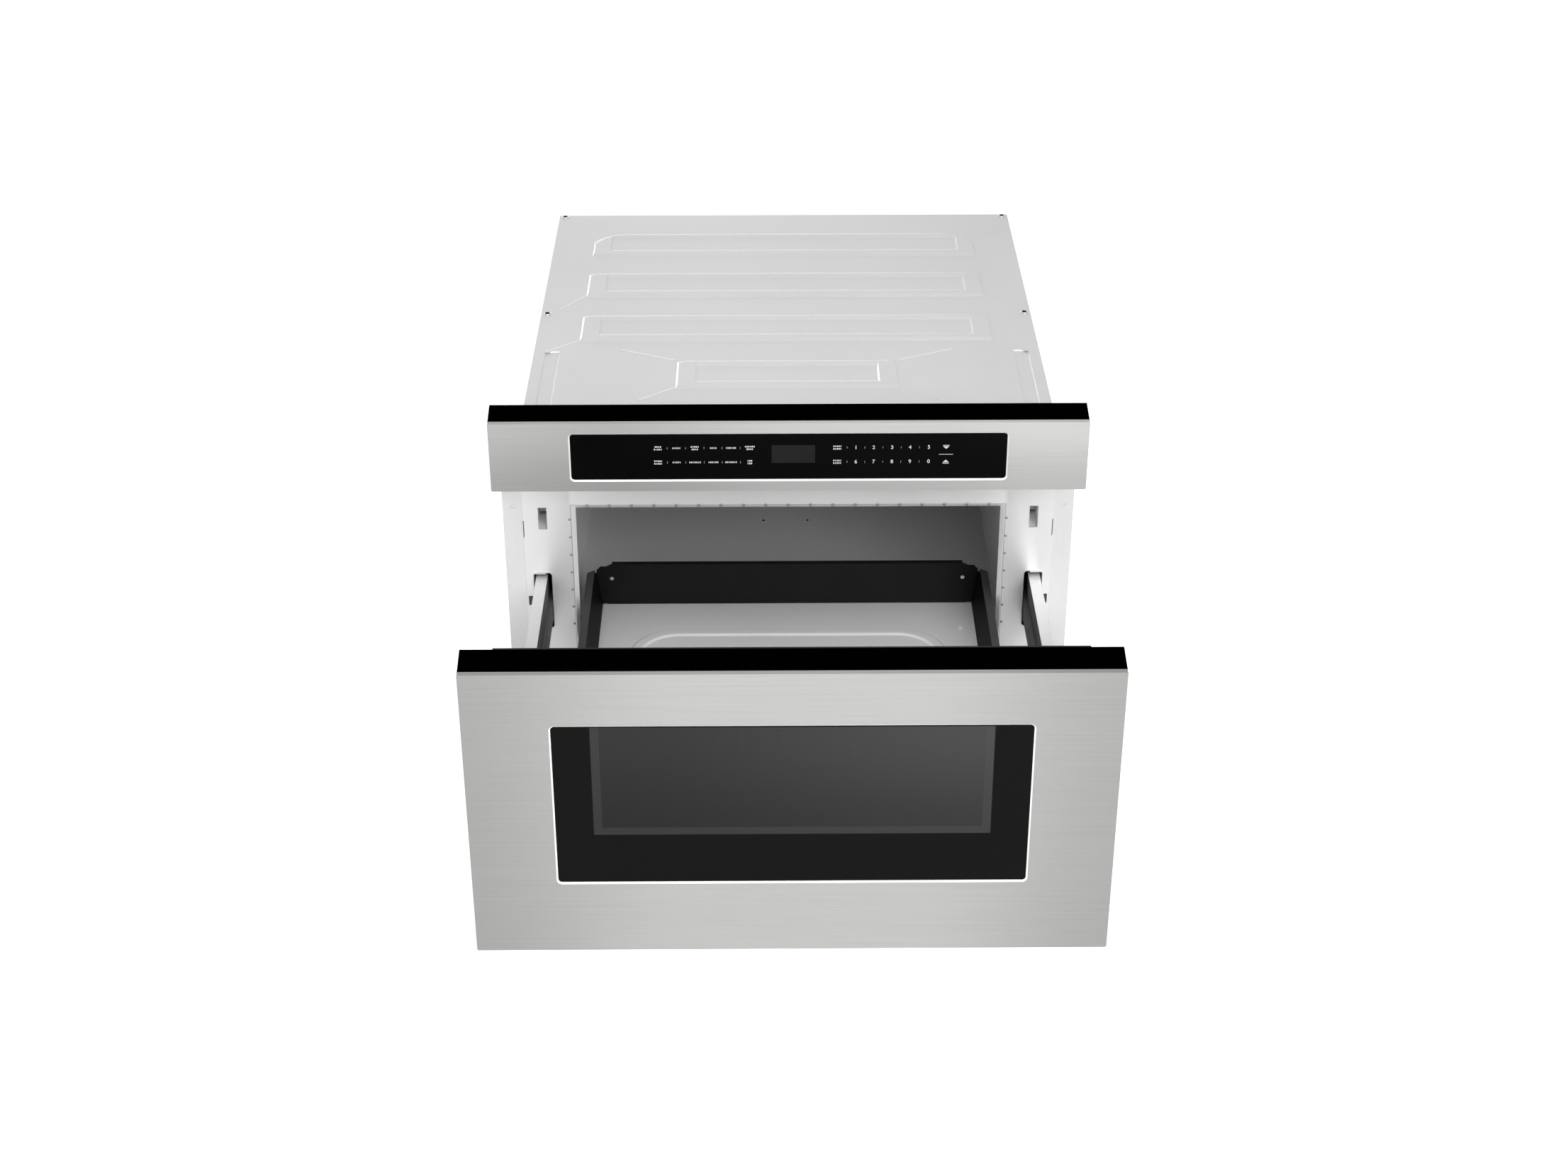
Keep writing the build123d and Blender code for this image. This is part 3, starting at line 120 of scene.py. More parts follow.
class Graph:
    """A node tree that starts empty."""

    def __init__(self, tree):
        self.tree = tree
        self.tree.nodes.clear()

    def add(self, kind, **props):
        node = self.tree.nodes.new(kind)
        for key, value in props.items():
            setattr(node, key, value)
        return node

    def link(self, output, socket):
        self.tree.links.new(output, socket)

    def feed(self, socket, value):
        """Link an output to a socket, or give the socket a number or a colour."""
        if isinstance(value, bpy.types.NodeSocket):
            self.link(value, socket)
        else:
            socket.default_value = (*value, 1) if isinstance(value, tuple) else value

    def math(self, kind, *values):
        node = self.add("ShaderNodeMath", operation=kind)
        for socket, value in zip(node.inputs, values):
            self.feed(socket, value)
        return node.outputs[0]


class Mat(Graph):
    """A material with one Principled shader, in the coordinates of its object."""

    def __init__(self, name):
        self.mat = bpy.data.materials.new(name)
        self.mat.use_nodes = True
        super().__init__(self.mat.node_tree)
        out = self.add("ShaderNodeOutputMaterial")
        self.bsdf = self.add("ShaderNodeBsdfPrincipled")
        self.link(self.bsdf.outputs[0], out.inputs["Surface"])
        self.coord = self.add("ShaderNodeTexCoord").outputs["Object"]

    def set(self, **values):
        for key, value in values.items():
            self.bsdf.inputs[key.replace("_", " ")].default_value = value

    def colour(self, output):
        self.link(output, self.bsdf.inputs["Base Color"])

    def rough(self, output):
        self.link(output, self.bsdf.inputs["Roughness"])

    def bump(self, height, distance, strength, edge=0.0):
        """Bump from a height, over edges that look rounded by the radius edge."""
        node = self.add("ShaderNodeBump")
        if edge:
            bevel = self.add("ShaderNodeBevel", samples=4)
            bevel.inputs["Radius"].default_value = edge
            self.link(bevel.outputs[0], node.inputs["Normal"])
        node.inputs["Strength"].default_value = strength
        node.inputs["Distance"].default_value = distance
        self.link(height, node.inputs["Height"])
        self.link(node.outputs[0], self.bsdf.inputs["Normal"])

    def place(self, x=1, y=1, z=1):
        """Coordinates with each axis scaled."""
        node = self.add("ShaderNodeMapping")
        node.inputs["Scale"].default_value = (x, y, z)
        self.link(self.coord, node.inputs["Vector"])
        return node.outputs[0]

    def axis(self, name):
        node = self.add("ShaderNodeSeparateXYZ")
        self.link(self.coord, node.inputs[0])
        return node.outputs[name]

    def noise(self, *scale, detail=2.0, rough=0.5):
        """Noise at one scale, or at one for each axis."""
        node = self.add("ShaderNodeTexNoise")
        node.inputs["Scale"].default_value = 1.0
        node.inputs["Detail"].default_value = detail
        node.inputs["Roughness"].default_value = rough
        self.link(self.place(*(scale if len(scale) == 3 else scale * 3)), node.inputs["Vector"])
        return node.outputs["Fac"]

    def remap(self, value, low, high, to_low=0.0, to_high=1.0, smooth=True):
        node = self.add("ShaderNodeMapRange")
        if smooth:
            node.interpolation_type = "SMOOTHSTEP"
        limits = {"From Min": low, "From Max": high, "To Min": to_low, "To Max": to_high}
        for key, number in limits.items():
            node.inputs[key].default_value = number
        self.link(value, node.inputs["Value"])
        return node.outputs[0]

    def above(self, value, limit, soft):
        """1 above a limit and 0 below it."""
        return self.remap(value, limit - soft, limit + soft)

    def below(self, value, limit, soft):
        return self.remap(value, limit - soft, limit + soft, 1, 0)

    def vary(self, noise, low, high):
        """A number that follows a noise."""
        return self.remap(noise, *NOISE_BAND, low, high, smooth=False)

    def shades(self, noise, low, high):
        """A colour that follows a noise."""
        node = self.add("ShaderNodeValToRGB")
        for element, position, colour in zip(node.color_ramp.elements, NOISE_BAND, (low, high)):
            element.position = position
            element.color = (*colour, 1)
        self.link(noise, node.inputs[0])
        return node.outputs[0]

    def mix(self, factor, a, b, blend="MIX"):
        node = self.add("ShaderNodeMix", data_type="RGBA", blend_type=blend)
        self.feed(node.inputs["Factor"], factor)
        for name, value in (("A", a), ("B", b)):
            self.feed(next(s for s in node.inputs if s.name == name and s.type == "RGBA"), value)
        return next(s for s in node.outputs if s.type == "RGBA")

    def tint(self, colour, level):
        """A colour multiplied by a grey."""
        return self.mix(1.0, colour, srgb(level), "MULTIPLY")


def box_mask(m, x_half, z_low, z_high, soft):
    """1 inside a rectangle in X and Z, falling to 0 over soft."""
    side = m.below(m.math("ABSOLUTE", m.axis("X")), x_half, soft)
    low = m.above(m.axis("Z"), z_low, soft)
    high = m.below(m.axis("Z"), z_high, soft)
    return m.math("MULTIPLY", m.math("MULTIPLY", side, low), high)


def edge_ring(m, node, lap, radius, width):
    """1 on a band of this width round a rounded cut-out, which a node laps from behind."""
    low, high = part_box(node)
    sides = []
    for name, a, b in (("X", low[0], high[0]), ("Z", low[2], high[2])):
        away = m.math("ABSOLUTE", m.math("SUBTRACT", m.axis(name), (a + b) / 2))
        away = m.math("MAXIMUM", m.math("SUBTRACT", away, (b - a) / 2 - lap - radius), 0.0)
        sides.append(m.math("MULTIPLY", away, away))
    beyond = m.math("SUBTRACT", m.math("SQRT", m.math("ADD", *sides)), radius)
    soft = 0.1 * MM
    return m.math("MULTIPLY", m.above(beyond, 0, soft), m.below(beyond, width, soft))


# ------------------------------------------------------------------ materials

def brushed_front(name, low, high, glass, middle=0.0, foot=None):
    """Steel front: fine grain along X, painted shade away from its middle, and a polished edge
    round its glass, painted near white: its polish and a painted highlight.

    With a foot, it also gets painted shade downwards, to its tone times that grey.
    """
    m = Mat(name)
    fine = m.noise(9, 60, 2600, detail=4, rough=0.6)
    broad = m.noise(2.5, 20, 420)
    grain = m.math("MULTIPLY_ADD", fine, 0.85, m.math("MULTIPLY", broad, 0.15))
    tone = m.shades(grain, srgb(low, low, low - 2), srgb(high, high, high - 2))
    away = m.math("ABSOLUTE", m.math("SUBTRACT", m.axis("X"), middle))
    near, far = 100 * MM, 320 * MM         # painted shade: the tone falls between these distances
    ends = m.math("MULTIPLY", m.remap(away, near, far), 0.8)
    tone = m.mix(ends, tone, m.tint(tone, 214))
    if foot:
        past = 6 * MM                      # it goes on falling above and below the glass
        glass_low, glass_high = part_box(glass)
        # painted shade, darker downwards over the glass
        down = m.remap(m.axis("Z"), glass_high[2] + past, glass_low[2] - past)
        tone = m.mix(down, tone, m.tint(tone, foot))
    # polished edge painted near white: partly its polish, partly a painted highlight of the lit
    # cut edge
    polish_and_highlight = edge_ring(m, glass, GLASS_LAP, CUT_RADIUS, CUT_POLISH_HIGHLIGHT)
    m.colour(m.mix(polish_and_highlight, tone, srgb(252)))
    m.rough(m.vary(grain, 0.42, 0.32))
    m.set(Metallic=0.1, Anisotropic=0.5, Specular_IOR_Level=0.3)
    m.bump(grain, FINE, 0.5)
    return m.mat


def sheet_steel(name, level, spread, metallic, rough, edge=0.0, coat=0.0):
    """Plain coated sheet with a faint cloudy tone and small flecks."""
    m = Mat(name)
    cloud = m.noise(6, detail=3)
    fleck = m.noise(240)
    both = m.math("MULTIPLY_ADD", fleck, 0.25, m.math("MULTIPLY", cloud, 0.75))
    m.colour(m.shades(both, srgb(level - spread), srgb(level + spread)))
    m.rough(m.vary(both, rough - 0.05, rough + 0.05))
    m.set(Metallic=metallic, Coat_Weight=coat, Coat_Roughness=0.12)
    m.bump(fleck, FINE, 0.3, edge)
    return m.mat


def frame_steel():
    """Front frame: bright plated sheet; painted highlight on the opening's rolled edge, painted
    shade line round it, painted light above it.
    """
    m = Mat("frame_steel")
    cloud = m.noise(8, 8, 5, detail=3)
    fleck = m.noise(260)
    shade_line_x, shade_line_top = RIM_X + 0.8 * MM, RIM_TOP + 0.7 * MM
    sharp = 0.2 * MM
    tone = m.shades(cloud, srgb(228), srgb(236))
    painted_light_over_opening = box_mask(m, shade_line_x, shade_line_top, 400 * MM, 3 * MM)
    rim = box_mask(m, RIM_X, RIM_FOOT, RIM_TOP, sharp)
    shade_line = box_mask(m, shade_line_x, RIM_FOOT, shade_line_top, sharp)
    # painted light over the opening where the control panel shades the sheet, a painted shade line
    # round the rolled edge, a painted highlight on it
    for mask, level in ((painted_light_over_opening, 254), (shade_line, 176), (rim, 252)):
        tone = m.mix(mask, tone, srgb(level))
    m.colour(tone)
    m.rough(m.vary(cloud, 0.32, 0.4))
    m.set(Metallic=0.4, Coat_Weight=0.5, Coat_Roughness=0.12)
    m.bump(fleck, FINE, 0.25, 0.6 * MM)
    return m.mat


def rail_enamel():
    """Tray side walls: dark enamel, painted lighter along the flat top rim as painted light."""
    m = Mat("rail_enamel")
    cloud = m.noise(12)
    fine = m.noise(500)
    # painted light: the flat top rim is lighter than the walls, as lit from above
    rim = m.remap(m.axis("Z"), TRAY_SIDE_TOP - 0.7 * MM, TRAY_SIDE_TOP - 0.2 * MM)
    wall = m.shades(cloud, srgb(15), srgb(20))
    m.colour(m.mix(rim, wall, m.shades(cloud, srgb(74), srgb(82))))
    m.rough(m.vary(fine, 0.50, 0.58))
    m.set(Specular_IOR_Level=0.04)
    m.bump(fine, FINE, 0.5)
    return m.mat


def plain(name, colour, rough, metallic=0.0, grain=600, depth=0.03 * MM, spread=0.15, gloss=0.5):
    """Moulded plastic or paint: fine surface grain and a slight change of tone."""
    m = Mat(name)
    cloud = m.noise(12)
    fine = m.noise(grain)
    dark = tuple(c * (1 - spread) for c in colour)
    light = tuple(min(1.0, c * (1 + spread)) for c in colour)
    m.colour(m.shades(cloud, dark, light))
    m.rough(m.vary(fine, rough - 0.04, rough + 0.04))
    m.set(Metallic=metallic, Specular_IOR_Level=gloss)
    m.bump(fine, depth, 0.5)
    return m.mat


def black_glass():
    """Touch panel glass: near black, glossy, with a faint cloudiness in the reflection."""
    m = Mat("touch_glass_black")
    cloud = m.noise(4, 4, 9)
    m.colour(m.shades(cloud, srgb(9), srgb(14)))
    m.rough(m.vary(cloud, 0.10, 0.16))
    m.set(Specular_IOR_Level=0.12)
    return m.mat


def window_glass():
    """Drawer window: black printed border, and the perforated screen seen through the middle."""
    m = Mat("window_glass_black")
    soft = 0.6 * MM
    view = box_mask(m, VIEW_X, VIEW_LOW, VIEW_HIGH, soft)
    inner = box_mask(m, VIEW_X - VIEW_BAND, VIEW_LOW + VIEW_BAND, WINDOW_TOP, soft)
    # painted light and shade: the screen is lighter to the right and darker downwards
    painted_light_across = m.remap(m.axis("X"), -190 * MM, 190 * MM)
    down = m.math("SUBTRACT", 1.0, m.remap(m.axis("Z"), VIEW_LOW, VIEW_HIGH))
    screen = m.mix(painted_light_across, srgb(44), srgb(62))
    screen = m.mix(m.math("MULTIPLY", down, 0.5), screen, srgb(20))
    dots = m.add("ShaderNodeTexVoronoi")
    dots.inputs["Scale"].default_value = 700
    dots.inputs["Randomness"].default_value = 0.0
    m.link(m.place(1, 0, 1), dots.inputs["Vector"])
    holes = m.math("SUBTRACT", 1.0, m.remap(dots.outputs["Distance"], 0.25, 0.4))
    screen = m.mix(m.math("MULTIPLY", holes, 0.25), screen, srgb(14))
    # painted light: a lighter band on the left, right and bottom, where the inner frame's bevel
    # shows
    band = m.mix(0.3, screen, srgb(66))
    m.colour(m.mix(view, srgb(5), m.mix(inner, band, screen)))
    m.set(Roughness=0.12, Specular_IOR_Level=0.09)
    return m.mat


def display_glass():
    """Switched-off display behind the touch glass: a dull dark grey."""
    m = Mat("display_grey")
    m.colour(m.shades(m.noise(30), srgb(31), srgb(36)))
    m.set(Roughness=0.3, Specular_IOR_Level=0.2)
    return m.mat


def enamel():
    """Grey tray enamel with a light speckle, and a painted highlight on the banks of the pressed
    ridge.
    """
    m = Mat("grey_enamel")
    foot = m.remap(m.axis("Z"), TRAY_FLOOR_Z + 0.2 * MM, TRAY_FLOOR_Z + 0.5 * MM)
    brow = m.remap(m.axis("Z"), TRAY_FLOOR_Z + 1.2 * MM, TRAY_FLOOR_Z + 1.8 * MM, 1, 0)
    speck = m.noise(900, detail=1)
    cloud = m.noise(5)
    tone = m.shades(cloud, srgb(236), srgb(242))
    tone = m.mix(m.remap(speck, 0.62, 0.7), tone, srgb(248))
    # painted highlight on the banks of the ridge
    m.colour(m.mix(m.math("MULTIPLY", foot, brow), tone, srgb(255)))
    m.rough(m.vary(cloud, 0.3, 0.36))
    m.set(Coat_Weight=0.6, Coat_Roughness=0.08)
    m.bump(speck, FINE, 0.3, 0.8 * MM)
    return m.mat


def winding():
    """Transformer: copper coloured windings in bands."""
    m = Mat("transformer")
    wave = m.add("ShaderNodeTexWave", bands_direction="Z")
    wave.inputs["Scale"].default_value = 500
    m.link(m.place(), wave.inputs["Vector"])
    bands = wave.outputs["Fac"]
    m.colour(m.mix(bands, (0.20, 0.08, 0.03), (0.32, 0.14, 0.05)))
    m.set(Roughness=0.45, Metallic=0.3)
    m.bump(bands, 0.1 * MM, 0.5)
    return m.mat


BY_SLOT = {
    "brushed_steel_front": brushed_front("brushed_front", 158, 170, "window_glass"),
    "galvanised_steel": sheet_steel("case_steel", 219, 4, 0.2, 0.45, 0.6 * MM, 0.4),
    "zinc_slide": sheet_steel("slide_steel", 205, 6, 0.5, 0.32),
    "zinc_frame": frame_steel(),
    "black_plastic": plain("black_plastic", srgb(1), 0.7, gloss=0.0),
    "black_glass": black_glass(),
    "circuit_board": plain("circuit_board", (0.03, 0.14, 0.06), 0.35),
    "black_screen": plain("black_screen", srgb(30), 0.45, 0.3),
    "dark_enamel": plain("dark_enamel", srgb(20), 0.45, grain=500, depth=FINE, gloss=0.2),
    "grey_enamel": enamel(),
    "cavity_paint": sheet_steel("cavity_paint", 205, 4, 0.1, 0.4),
    "mica": plain("mica", (0.50, 0.43, 0.32), 0.4),
    "aluminium": sheet_steel("aluminium", 205, 6, 0.9, 0.32),
    "copper_winding": winding(),
    "motor_plastic": plain("motor_plastic", srgb(60), 0.45),
    "white_plastic": plain("white_plastic", srgb(222), 0.42),
    "gear_plastic": plain("gear_plastic", srgb(214, 212, 200), 0.38),
    "bright_rivet": sheet_steel("bright_steel", 214, 6, 1.0, 0.2),
    "rubber_gland": plain("rubber_gland", srgb(26), 0.7),
}

BY_NODE = {
    "window_glass": window_glass(),
    "control_panel_fascia": brushed_front("brushed_panel", 188, 201, "touch_glass", 0.12, 230),
    "tray_sides": rail_enamel(),
    "latch_switches": plain("latch_plastic", srgb(250), 0.45, spread=0.03),
    # painted light: the cavity floor and, lighter still, its sides are lit copies of the cavity
    # paint
    "cavity_floor": sheet_steel("cavity_paint_lit_floor", 228, 3, 0.1, 0.4),
    "cavity_sides": sheet_steel("cavity_paint_lit_sides", 248, 3, 0.05, 0.4),
}
# lit and shaded copies of the slide steel: painted light on the middle members, painted shade on
# the arms, inner members and rollers
LIT_SLIDE = sheet_steel("slide_steel_lit", 226, 4, 0.4, 0.35)
SHADED_SLIDE = plain("slide_steel_shaded", srgb(98), 0.5, 0.2, gloss=0.1)
BY_NODE["slide_arms"] = SHADED_SLIDE
for side in ("left", "right"):
    BY_NODE["slide_middle_" + side] = LIT_SLIDE
    BY_NODE["slide_inner_" + side] = SHADED_SLIDE
    BY_NODE["slide_rollers_" + side] = SHADED_SLIDE

for part in RECORD["subparts"]:
    obj = NODES[part["node"]]
    if not obj.data.materials:
        obj.data.materials.append(None)
    for slot in obj.material_slots:
        slot.material = BY_NODE.get(part["node"], BY_SLOT[part["material_slot"]])

DARK = plain("dark_recess", srgb(14), 0.6, gloss=0.1)
PRINT = plain("touch_print_white", srgb(205), 0.5)


# ------------------------------------------------------------------ mesh helpers

def mesh_object(name, bm, mat):
    mesh = bpy.data.meshes.new(name)
    bm.to_mesh(mesh)
    bm.free()
    mesh.materials.append(mat)
    obj = bpy.data.objects.new(name, mesh)
    bpy.context.scene.collection.objects.link(obj)
    return obj


def case_piece(name, bm, mat):
    """Object from a bmesh, with its material, riding on the case."""
    bmesh.ops.recalc_face_normals(bm, faces=bm.faces)
    obj = mesh_object(name, bm, mat)
    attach(obj, "case")
    return obj


def skin(bm, low, high):
    """Faces between two rings of as many points."""
    for k in range(len(low)):
        n = (k + 1) % len(low)
        bm.faces.new((low[k], low[n], high[n], high[k]))


def prism(bm, outline, y_back, depth):
    """Flat prism in the X-Z plane: its back at y_back, its face depth nearer the front."""
    front = [bm.verts.new((x, y_back - depth, z)) for x, z in outline]
    back = [bm.verts.new((x, y_back, z)) for x, z in outline]
    bm.faces.new(front)
    bm.faces.new(list(reversed(back)))
    skin(bm, front, back)


def turned(bm, profile, place, sides=20):
    """Turned piece: radius and height pairs, from its foot up, put in place by a matrix.

    A last radius of 0 makes a tip.
    """
    angles = [2 * math.pi * k / sides for k in range(sides)]
    rings = []
    for radius, height in profile:
        if radius:
            spots = [(radius * math.cos(a), radius * math.sin(a), height) for a in angles]
            rings.append([bm.verts.new(place @ Vector(spot)) for spot in spots])
    bm.faces.new(rings[0])
    for low, high in zip(rings, rings[1:]):
        skin(bm, low, high)
    if radius:
        bm.faces.new(rings[-1])
    else:
        tip = bm.verts.new(place @ Vector((0, 0, height)))
        for k in range(sides):
            bm.faces.new((rings[-1][k], rings[-1][(k + 1) % sides], tip))


def facing_front(x, y, z):
    """Matrix that turns a piece's height to the front, with its foot at this place."""
    return Matrix.Translation((x, y, z)) @ Matrix.Rotation(math.pi / 2, 4, "X")


# ------------------------------------------------------------------ touch panel

ROW_HIGH = TOUCH_Z + 9.6 * MM
ROW_LOW = TOUCH_Z - 6.5 * MM
PRINT_T = 0.1 * MM
WORD_H = 1.7 * MM
STROKE_PITCH = 1.75 * MM
WORD_X = [x * MM for x in (-132.3, -113.6, -95.0, -76.4, -58.5, -39.5)]
WORDS_HIGH = ((4, 5), (5,), (5, 4), (4,), (6,), (6, 4))    # strokes in each line of each label
WORDS_LOW = ((5, 5), (5,), (7,), (6,), (7,), (3, 3))
PAIR_X = 49.2 * MM                         # two-line labels left of the digits
DIGIT_X = [x * MM for x in (68.0, 86.0, 104.6, 122.8, 141.8)]
DIGIT_H = 5.7 * MM
ARROW_X = 159.3 * MM
DISPLAY_X = 4.7 * MM
DISPLAY_Z = TOUCH_Z + 2.5 * MM
DISPLAY_W = 44 * MM
DISPLAY_H = 20 * MM


def bar(bm, x, z, width, height):
    """Printed bar on the touch glass, centred on x and z."""
    w, h = width / 2, height / 2
    prism(bm, [(x - w, z - h), (x + w, z - h), (x + w, z + h), (x - w, z + h)], Y_GLASS, PRINT_T)


def word(bm, x, z, strokes):
    """Line of short unreadable strokes that stands for a label."""
    for k in range(strokes):
        width = (1.25 if (k * 7 + strokes) % 3 else 0.8) * MM
        bar(bm, x + (k - (strokes - 1) / 2) * STROKE_PITCH, z, width, WORD_H)


def label(bm, x, z, lines):
    """Label of one or two lines of strokes."""
    for row, strokes in enumerate(lines):
        word(bm, x, z + ((len(lines) - 1) / 2 - row) * 2.9 * MM, strokes)


def separators(bm, stops, z, width):
    """Thin bars halfway between neighbouring places."""
    for a, b in zip(stops, stops[1:]):
        bar(bm, (a + b) / 2, z, width, 2.4 * MM)


def arrow(bm, z, turn):
    """Triangle on a bar, pointing up for a turn of 1 and down for -1."""
    half = 3.2 * MM
    foot = z - turn * 1.0 * MM
    tip = z + turn * 2.0 * MM
    prism(bm, [(ARROW_X - half, foot), (ARROW_X, tip), (ARROW_X + half, foot)], Y_GLASS, PRINT_T)
    bar(bm, ARROW_X, z - turn * 2.0 * MM, 2 * half, 0.7 * MM)


def touch_print():
    """Everything printed on the touch glass but the digits: labels, separators, two arrows."""
    bm = bmesh.new()
    for z, row in ((ROW_HIGH, WORDS_HIGH), (ROW_LOW, WORDS_LOW)):
        for x, lines in zip(WORD_X, row):
            label(bm, x, z, lines)
        separators(bm, WORD_X, z, 0.25 * MM)
        label(bm, PAIR_X, z, (5, 5))
        separators(bm, [PAIR_X + 1.0 * MM] + DIGIT_X, z, 0.22 * MM)
    bar(bm, ARROW_X, (ROW_HIGH + ROW_LOW) / 2, 14 * MM, 0.5 * MM)
    arrow(bm, ROW_HIGH, -1)
    arrow(bm, ROW_LOW, 1)
    case_piece("touch_print", bm, PRINT)


def digits():
    """The ten keypad digits, in two rows."""
    for index, char in enumerate("1234567890"):
        data = bpy.data.curves.new("digit_" + char, "FONT")
        data.body = char
        data.size = DIGIT_H
        data.offset = 0.07 * MM            # bolder strokes
        data.extrude = PRINT_T / 2
        data.align_x = "CENTER"
        data.align_y = "CENTER"
        data.materials.append(PRINT)
        obj = bpy.data.objects.new("digit_" + char, data)
        z = ROW_HIGH if index < len(DIGIT_X) else ROW_LOW
        obj.location = (DIGIT_X[index % len(DIGIT_X)], Y_GLASS - PRINT_T / 2, z)
        obj.rotation_euler = (math.pi / 2, 0, 0)
        bpy.context.scene.collection.objects.link(obj)
        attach(obj, "case")


def display():
    """Display window on the touch glass."""
    bm = bmesh.new()
    bar(bm, DISPLAY_X, DISPLAY_Z, DISPLAY_W, DISPLAY_H)
    case_piece("display_window", bm, display_glass())


# ------------------------------------------------------------------ fine pieces of the case

def dimple(bm, x, z, radius):
    """Low round bump pressed out of the front frame, with its foot in the sheet."""
    rise = 0.85 * MM
    rings = 3
    profile = []
    for k in range(rings):
        a = k / rings * math.pi / 2
        profile.append((radius * math.cos(a), rise * math.sin(a)))
    profile.append((0, rise))
    turned(bm, profile, facing_front(x, Y_FRAME + 0.4 * MM, z), 12)


def frame_dimples():
    """Row of pressed bumps over the opening and down both of its sides."""
    bm = bmesh.new()
    top_pitch, side_pitch = 23.4 * MM, 21.1 * MM
    side_x, side_top = RIM_X + 2 * MM, OPENING_TOP - 12.2 * MM
    for k in range(-9, 10):
        dimple(bm, k * top_pitch, RIM_TOP, 1.9 * MM)
    for side in (-1, 1):
        for k in range(7):
            dimple(bm, side * side_x, side_top - k * side_pitch, 1.5 * MM)
    # painted shade: the dimples are painted much darker than the frame
    case_piece("frame_dimples", bm, sheet_steel("dimple_shade_steel", 150, 5, 0.4, 0.35))


def islands(node):
    """Lowest and highest corners of the separate pieces in a node's mesh, in a fixed order."""
    bm = bmesh.new()
    bm.from_mesh(NODES[node].data)
    bmesh.ops.remove_doubles(bm, verts=bm.verts, dist=1e-6)
    left = set(bm.verts)
    found = []
    while left:
        group = {left.pop()}
        edge = set(group)
        while edge:
            edge = {e.other_vert(v) for v in edge for e in v.link_edges} - group
            group |= edge
        left -= group
        found.append((Vector([min(v.co[k] for v in group) for k in range(3)]),
                      Vector([max(v.co[k] for v in group) for k in range(3)])))
    bm.free()
    return sorted(found, key=lambda ends: [round(v, 4) for v in ends[0]])


def cross_bar(bm, place, turn):
    """One bar of a cross recess, in millimetres, on top of a screw head."""
    half_l, half_w = 1.5, 0.28
    outline = ((-half_l, -half_w), (half_l, -half_w), (half_l, half_w), (-half_l, half_w))
    place = place @ Matrix.Rotation(turn, 4, "Z")
    low, high = ([bm.verts.new(place @ Vector((x, y, z))) for x, y in outline] for z in (1.5, 1.7))
    bm.faces.new(low)
    bm.faces.new(high)
    skin(bm, low, high)


def screw_heads():
    """Pan heads with a washer face, and a dark cap and cross as painted shade of the cross recess,
    one for each screw of the case.
    """
    heads, recess_shade = bmesh.new(), bmesh.new()
    head = [(4.4, 0.0), (4.4, 0.45), (3.7, 0.6), (3.6, 0.9), (3.2, 1.25), (2.4, 1.5), (1.6, 1.55)]
    cap = [(2.7, 1.25), (2.7, 1.5), (2.1, 1.6), (1.2, 1.63)]
    for index, (low, high) in enumerate(islands("case_screws")):
        size = high - low
        foot = (low + high) / 2
        if size.z < size.y:
            foot.z = low.z
            place = Matrix.Translation(foot)
        else:
            foot.y = low.y
            place = Matrix.Translation(foot) @ Matrix.Rotation(-math.pi / 2, 4, "X")
        place = place @ Matrix.Rotation(0.5 * index, 4, "Z") @ Matrix.Scale(MM, 4)
        turned(heads, head, place)
        # painted shade: a dark cap and a raised dark cross stand in for the shaded cross recess
        turned(recess_shade, cap, place)
        cross_bar(recess_shade, place, 0)
        cross_bar(recess_shade, place, math.pi / 2)
    piece = case_piece("screw_heads", heads, BY_SLOT["bright_rivet"])
    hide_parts("case_screws")
    case_piece("screw_recess_shade", recess_shade, DARK)


def gap_shade_pieces():
    """Dark grey pieces as painted shade in the notch beside each slide slot and in the slit under
    each latch slot.
    """
    bm = bmesh.new()
    notch = (271.9, 276.7, 146.9, 158.1)   # nearest and farthest X, lowest and highest Z
    slit = (277.7, 278.6, 229.2, 248.9)
    for side in (-1, 1):
        for place in (notch, slit):
            x_low, x_high, z_low, z_high = (value * MM for value in place)
            left, right = sorted((side * x_low, side * x_high))
            corners = [(left, z_low), (right, z_low), (right, z_high), (left, z_high)]
            prism(bm, corners, Y_FLANGE, 0.3 * MM)
    case_piece("gap_shade_pieces", bm, plain("gap_shade_grey", srgb(70), 0.6, gloss=0.1))


def hole_backing():
    """Thin grey discs in the screw holes of the side flanges."""
    bm = bmesh.new()
    holes = next(m for m in RECORD["mounts"] if m["name"] == "flange_screws")
    middle_x, _, middle_z = holes["pos_m"]
    half_x, half_z = (holes["dims"][key] * MM / 2 for key in ("spacing_x_mm", "spacing_y_mm"))
    for x in (middle_x - half_x, middle_x + half_x):
        for z in (middle_z - half_z, middle_z + half_z):
            place = facing_front(x, Y_FLANGE + 0.9 * MM, z)
            turned(bm, [(2.45 * MM, 0.0), (2.45 * MM, 0.5 * MM)], place)
    case_piece("hole_backing", bm, BY_SLOT["galvanised_steel"])


def cavity_marks():
    """Two small plugs in the cavity floor."""
    bm = bmesh.new()
    profile = [(1.6 * MM, 0.0), (1.6 * MM, 0.3 * MM), (1.0 * MM, 0.5 * MM)]
    for x in (-26.2 * MM, 26.2 * MM):
        turned(bm, profile, Matrix.Translation((x, 27.0 * MM, CAVITY_FLOOR_Z)))
    case_piece("cavity_plugs", bm, DARK)


touch_print()
digits()
display()
frame_dimples()
screw_heads()
gap_shade_pieces()
hole_backing()
cavity_marks()


# ------------------------------------------------------------------ stage

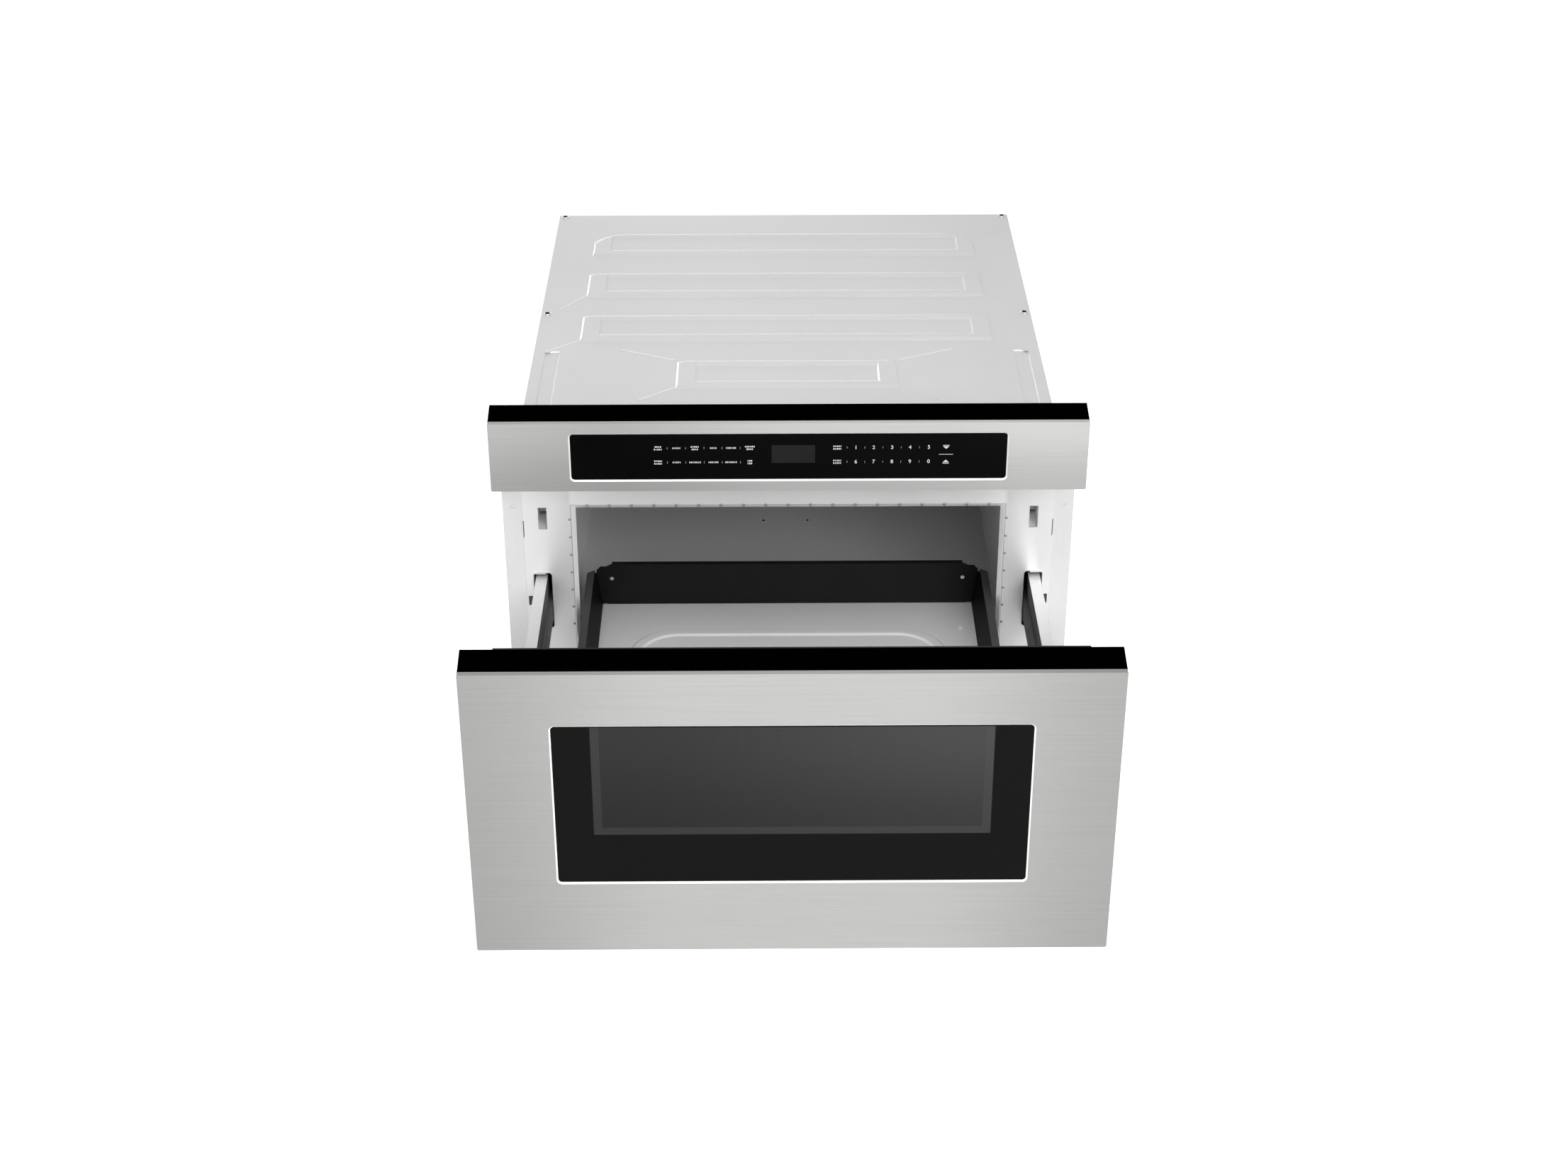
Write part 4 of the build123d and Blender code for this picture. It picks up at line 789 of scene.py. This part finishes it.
LAMPS = (      # name, place, what it points at, size in metres, power in watts
    ("key", (-0.3, -1.6, 2.8), (0, -0.3, 0.1), 1.6, 23),
    ("camera_right", (1.0, -2.8, 1.6), (0, -0.2, 0.2), 1.8, 46),
    ("low_right", (1.0, -3.4, 0.6), (0, 0.1, 0.2), 1.0, 14),
    ("low_left", (-1.0, -3.4, 0.6), (0, 0.1, 0.2), 1.0, 20),
    ("rim", (-2.0, 3.2, 0.9), (0, 0, 0.3), 1.2, 24),
    ("back", (-0.2, 3.6, 0.8), (0, 0, 0.37), 1.4, 7),
)


def area_light(name, location, target, size, power):
    data = bpy.data.lights.new(name, "AREA")
    data.shape = "DISK"
    data.size = size
    data.energy = power
    lamp = bpy.data.objects.new(name, data)
    lamp.location = location
    aim = Vector(target) - Vector(location)
    lamp.rotation_euler = aim.to_track_quat("-Z", "Y").to_euler()
    bpy.context.scene.collection.objects.link(lamp)


def camera():
    """The photo's viewpoint."""
    data = bpy.data.cameras.new("camera")
    data.sensor_width = 36.0
    data.lens = 56.36
    cam = bpy.data.objects.new("camera", data)
    cam.location = (-0.0242, -2.550, 1.4699)
    cam.rotation_euler = (math.radians(60.15), 0, math.radians(-0.5))
    bpy.context.scene.collection.objects.link(cam)
    bpy.context.scene.camera = cam


def floor():
    """Pale floor that keeps the object's shadow and looks white to the camera."""
    bm = bmesh.new()
    bmesh.ops.create_grid(bm, x_segments=4, y_segments=4, size=9)
    bmesh.ops.translate(bm, verts=bm.verts, vec=(0, 0, cad_box[0][2] - 0.5 * MM))
    m = Mat("floor")
    m.colour(m.mix(m.noise(1, detail=3), (0.86,) * 3, (0.88,) * 3))
    m.set(Roughness=0.9, Emission_Color=(1, 1, 1, 1))
    path = m.add("ShaderNodeLightPath")
    seen = m.math("MULTIPLY", path.outputs["Is Camera Ray"], 0.6)
    mirrored = m.math("MULTIPLY", path.outputs["Is Glossy Ray"], 0.34)
    m.link(m.math("MAXIMUM", seen, mirrored), m.bsdf.inputs["Emission Strength"])
    mesh_object("floor", bm, m.mat)


def world():
    """Soft light all round, behind a backdrop that is white to the camera.

    A Background node's own colour is 0.8, so that a strength of 1.25 is white.
    """
    sky = bpy.data.worlds.new("world")
    bpy.context.scene.world = sky
    sky.use_nodes = True
    g = Graph(sky.node_tree)
    path = g.add("ShaderNodeLightPath")
    camera_ray, glossy_ray = path.outputs["Is Camera Ray"], path.outputs["Is Glossy Ray"]
    light = g.add("ShaderNodeBackground")
    light.inputs["Strength"].default_value = 0.52
    backdrop = g.add("ShaderNodeBackground")
    g.link(g.math("MULTIPLY_ADD", camera_ray, 0.25, 1.0), backdrop.inputs["Strength"])
    either = g.add("ShaderNodeMixShader")
    g.link(g.math("MAXIMUM", camera_ray, glossy_ray), either.inputs[0])
    g.link(light.outputs[0], either.inputs[1])
    g.link(backdrop.outputs[0], either.inputs[2])
    g.link(either.outputs[0], g.add("ShaderNodeOutputWorld").inputs[0])


camera()
floor()
world()
for lamp in LAMPS:
    area_light(*lamp)
bpy.context.scene.view_settings.view_transform = "Standard"
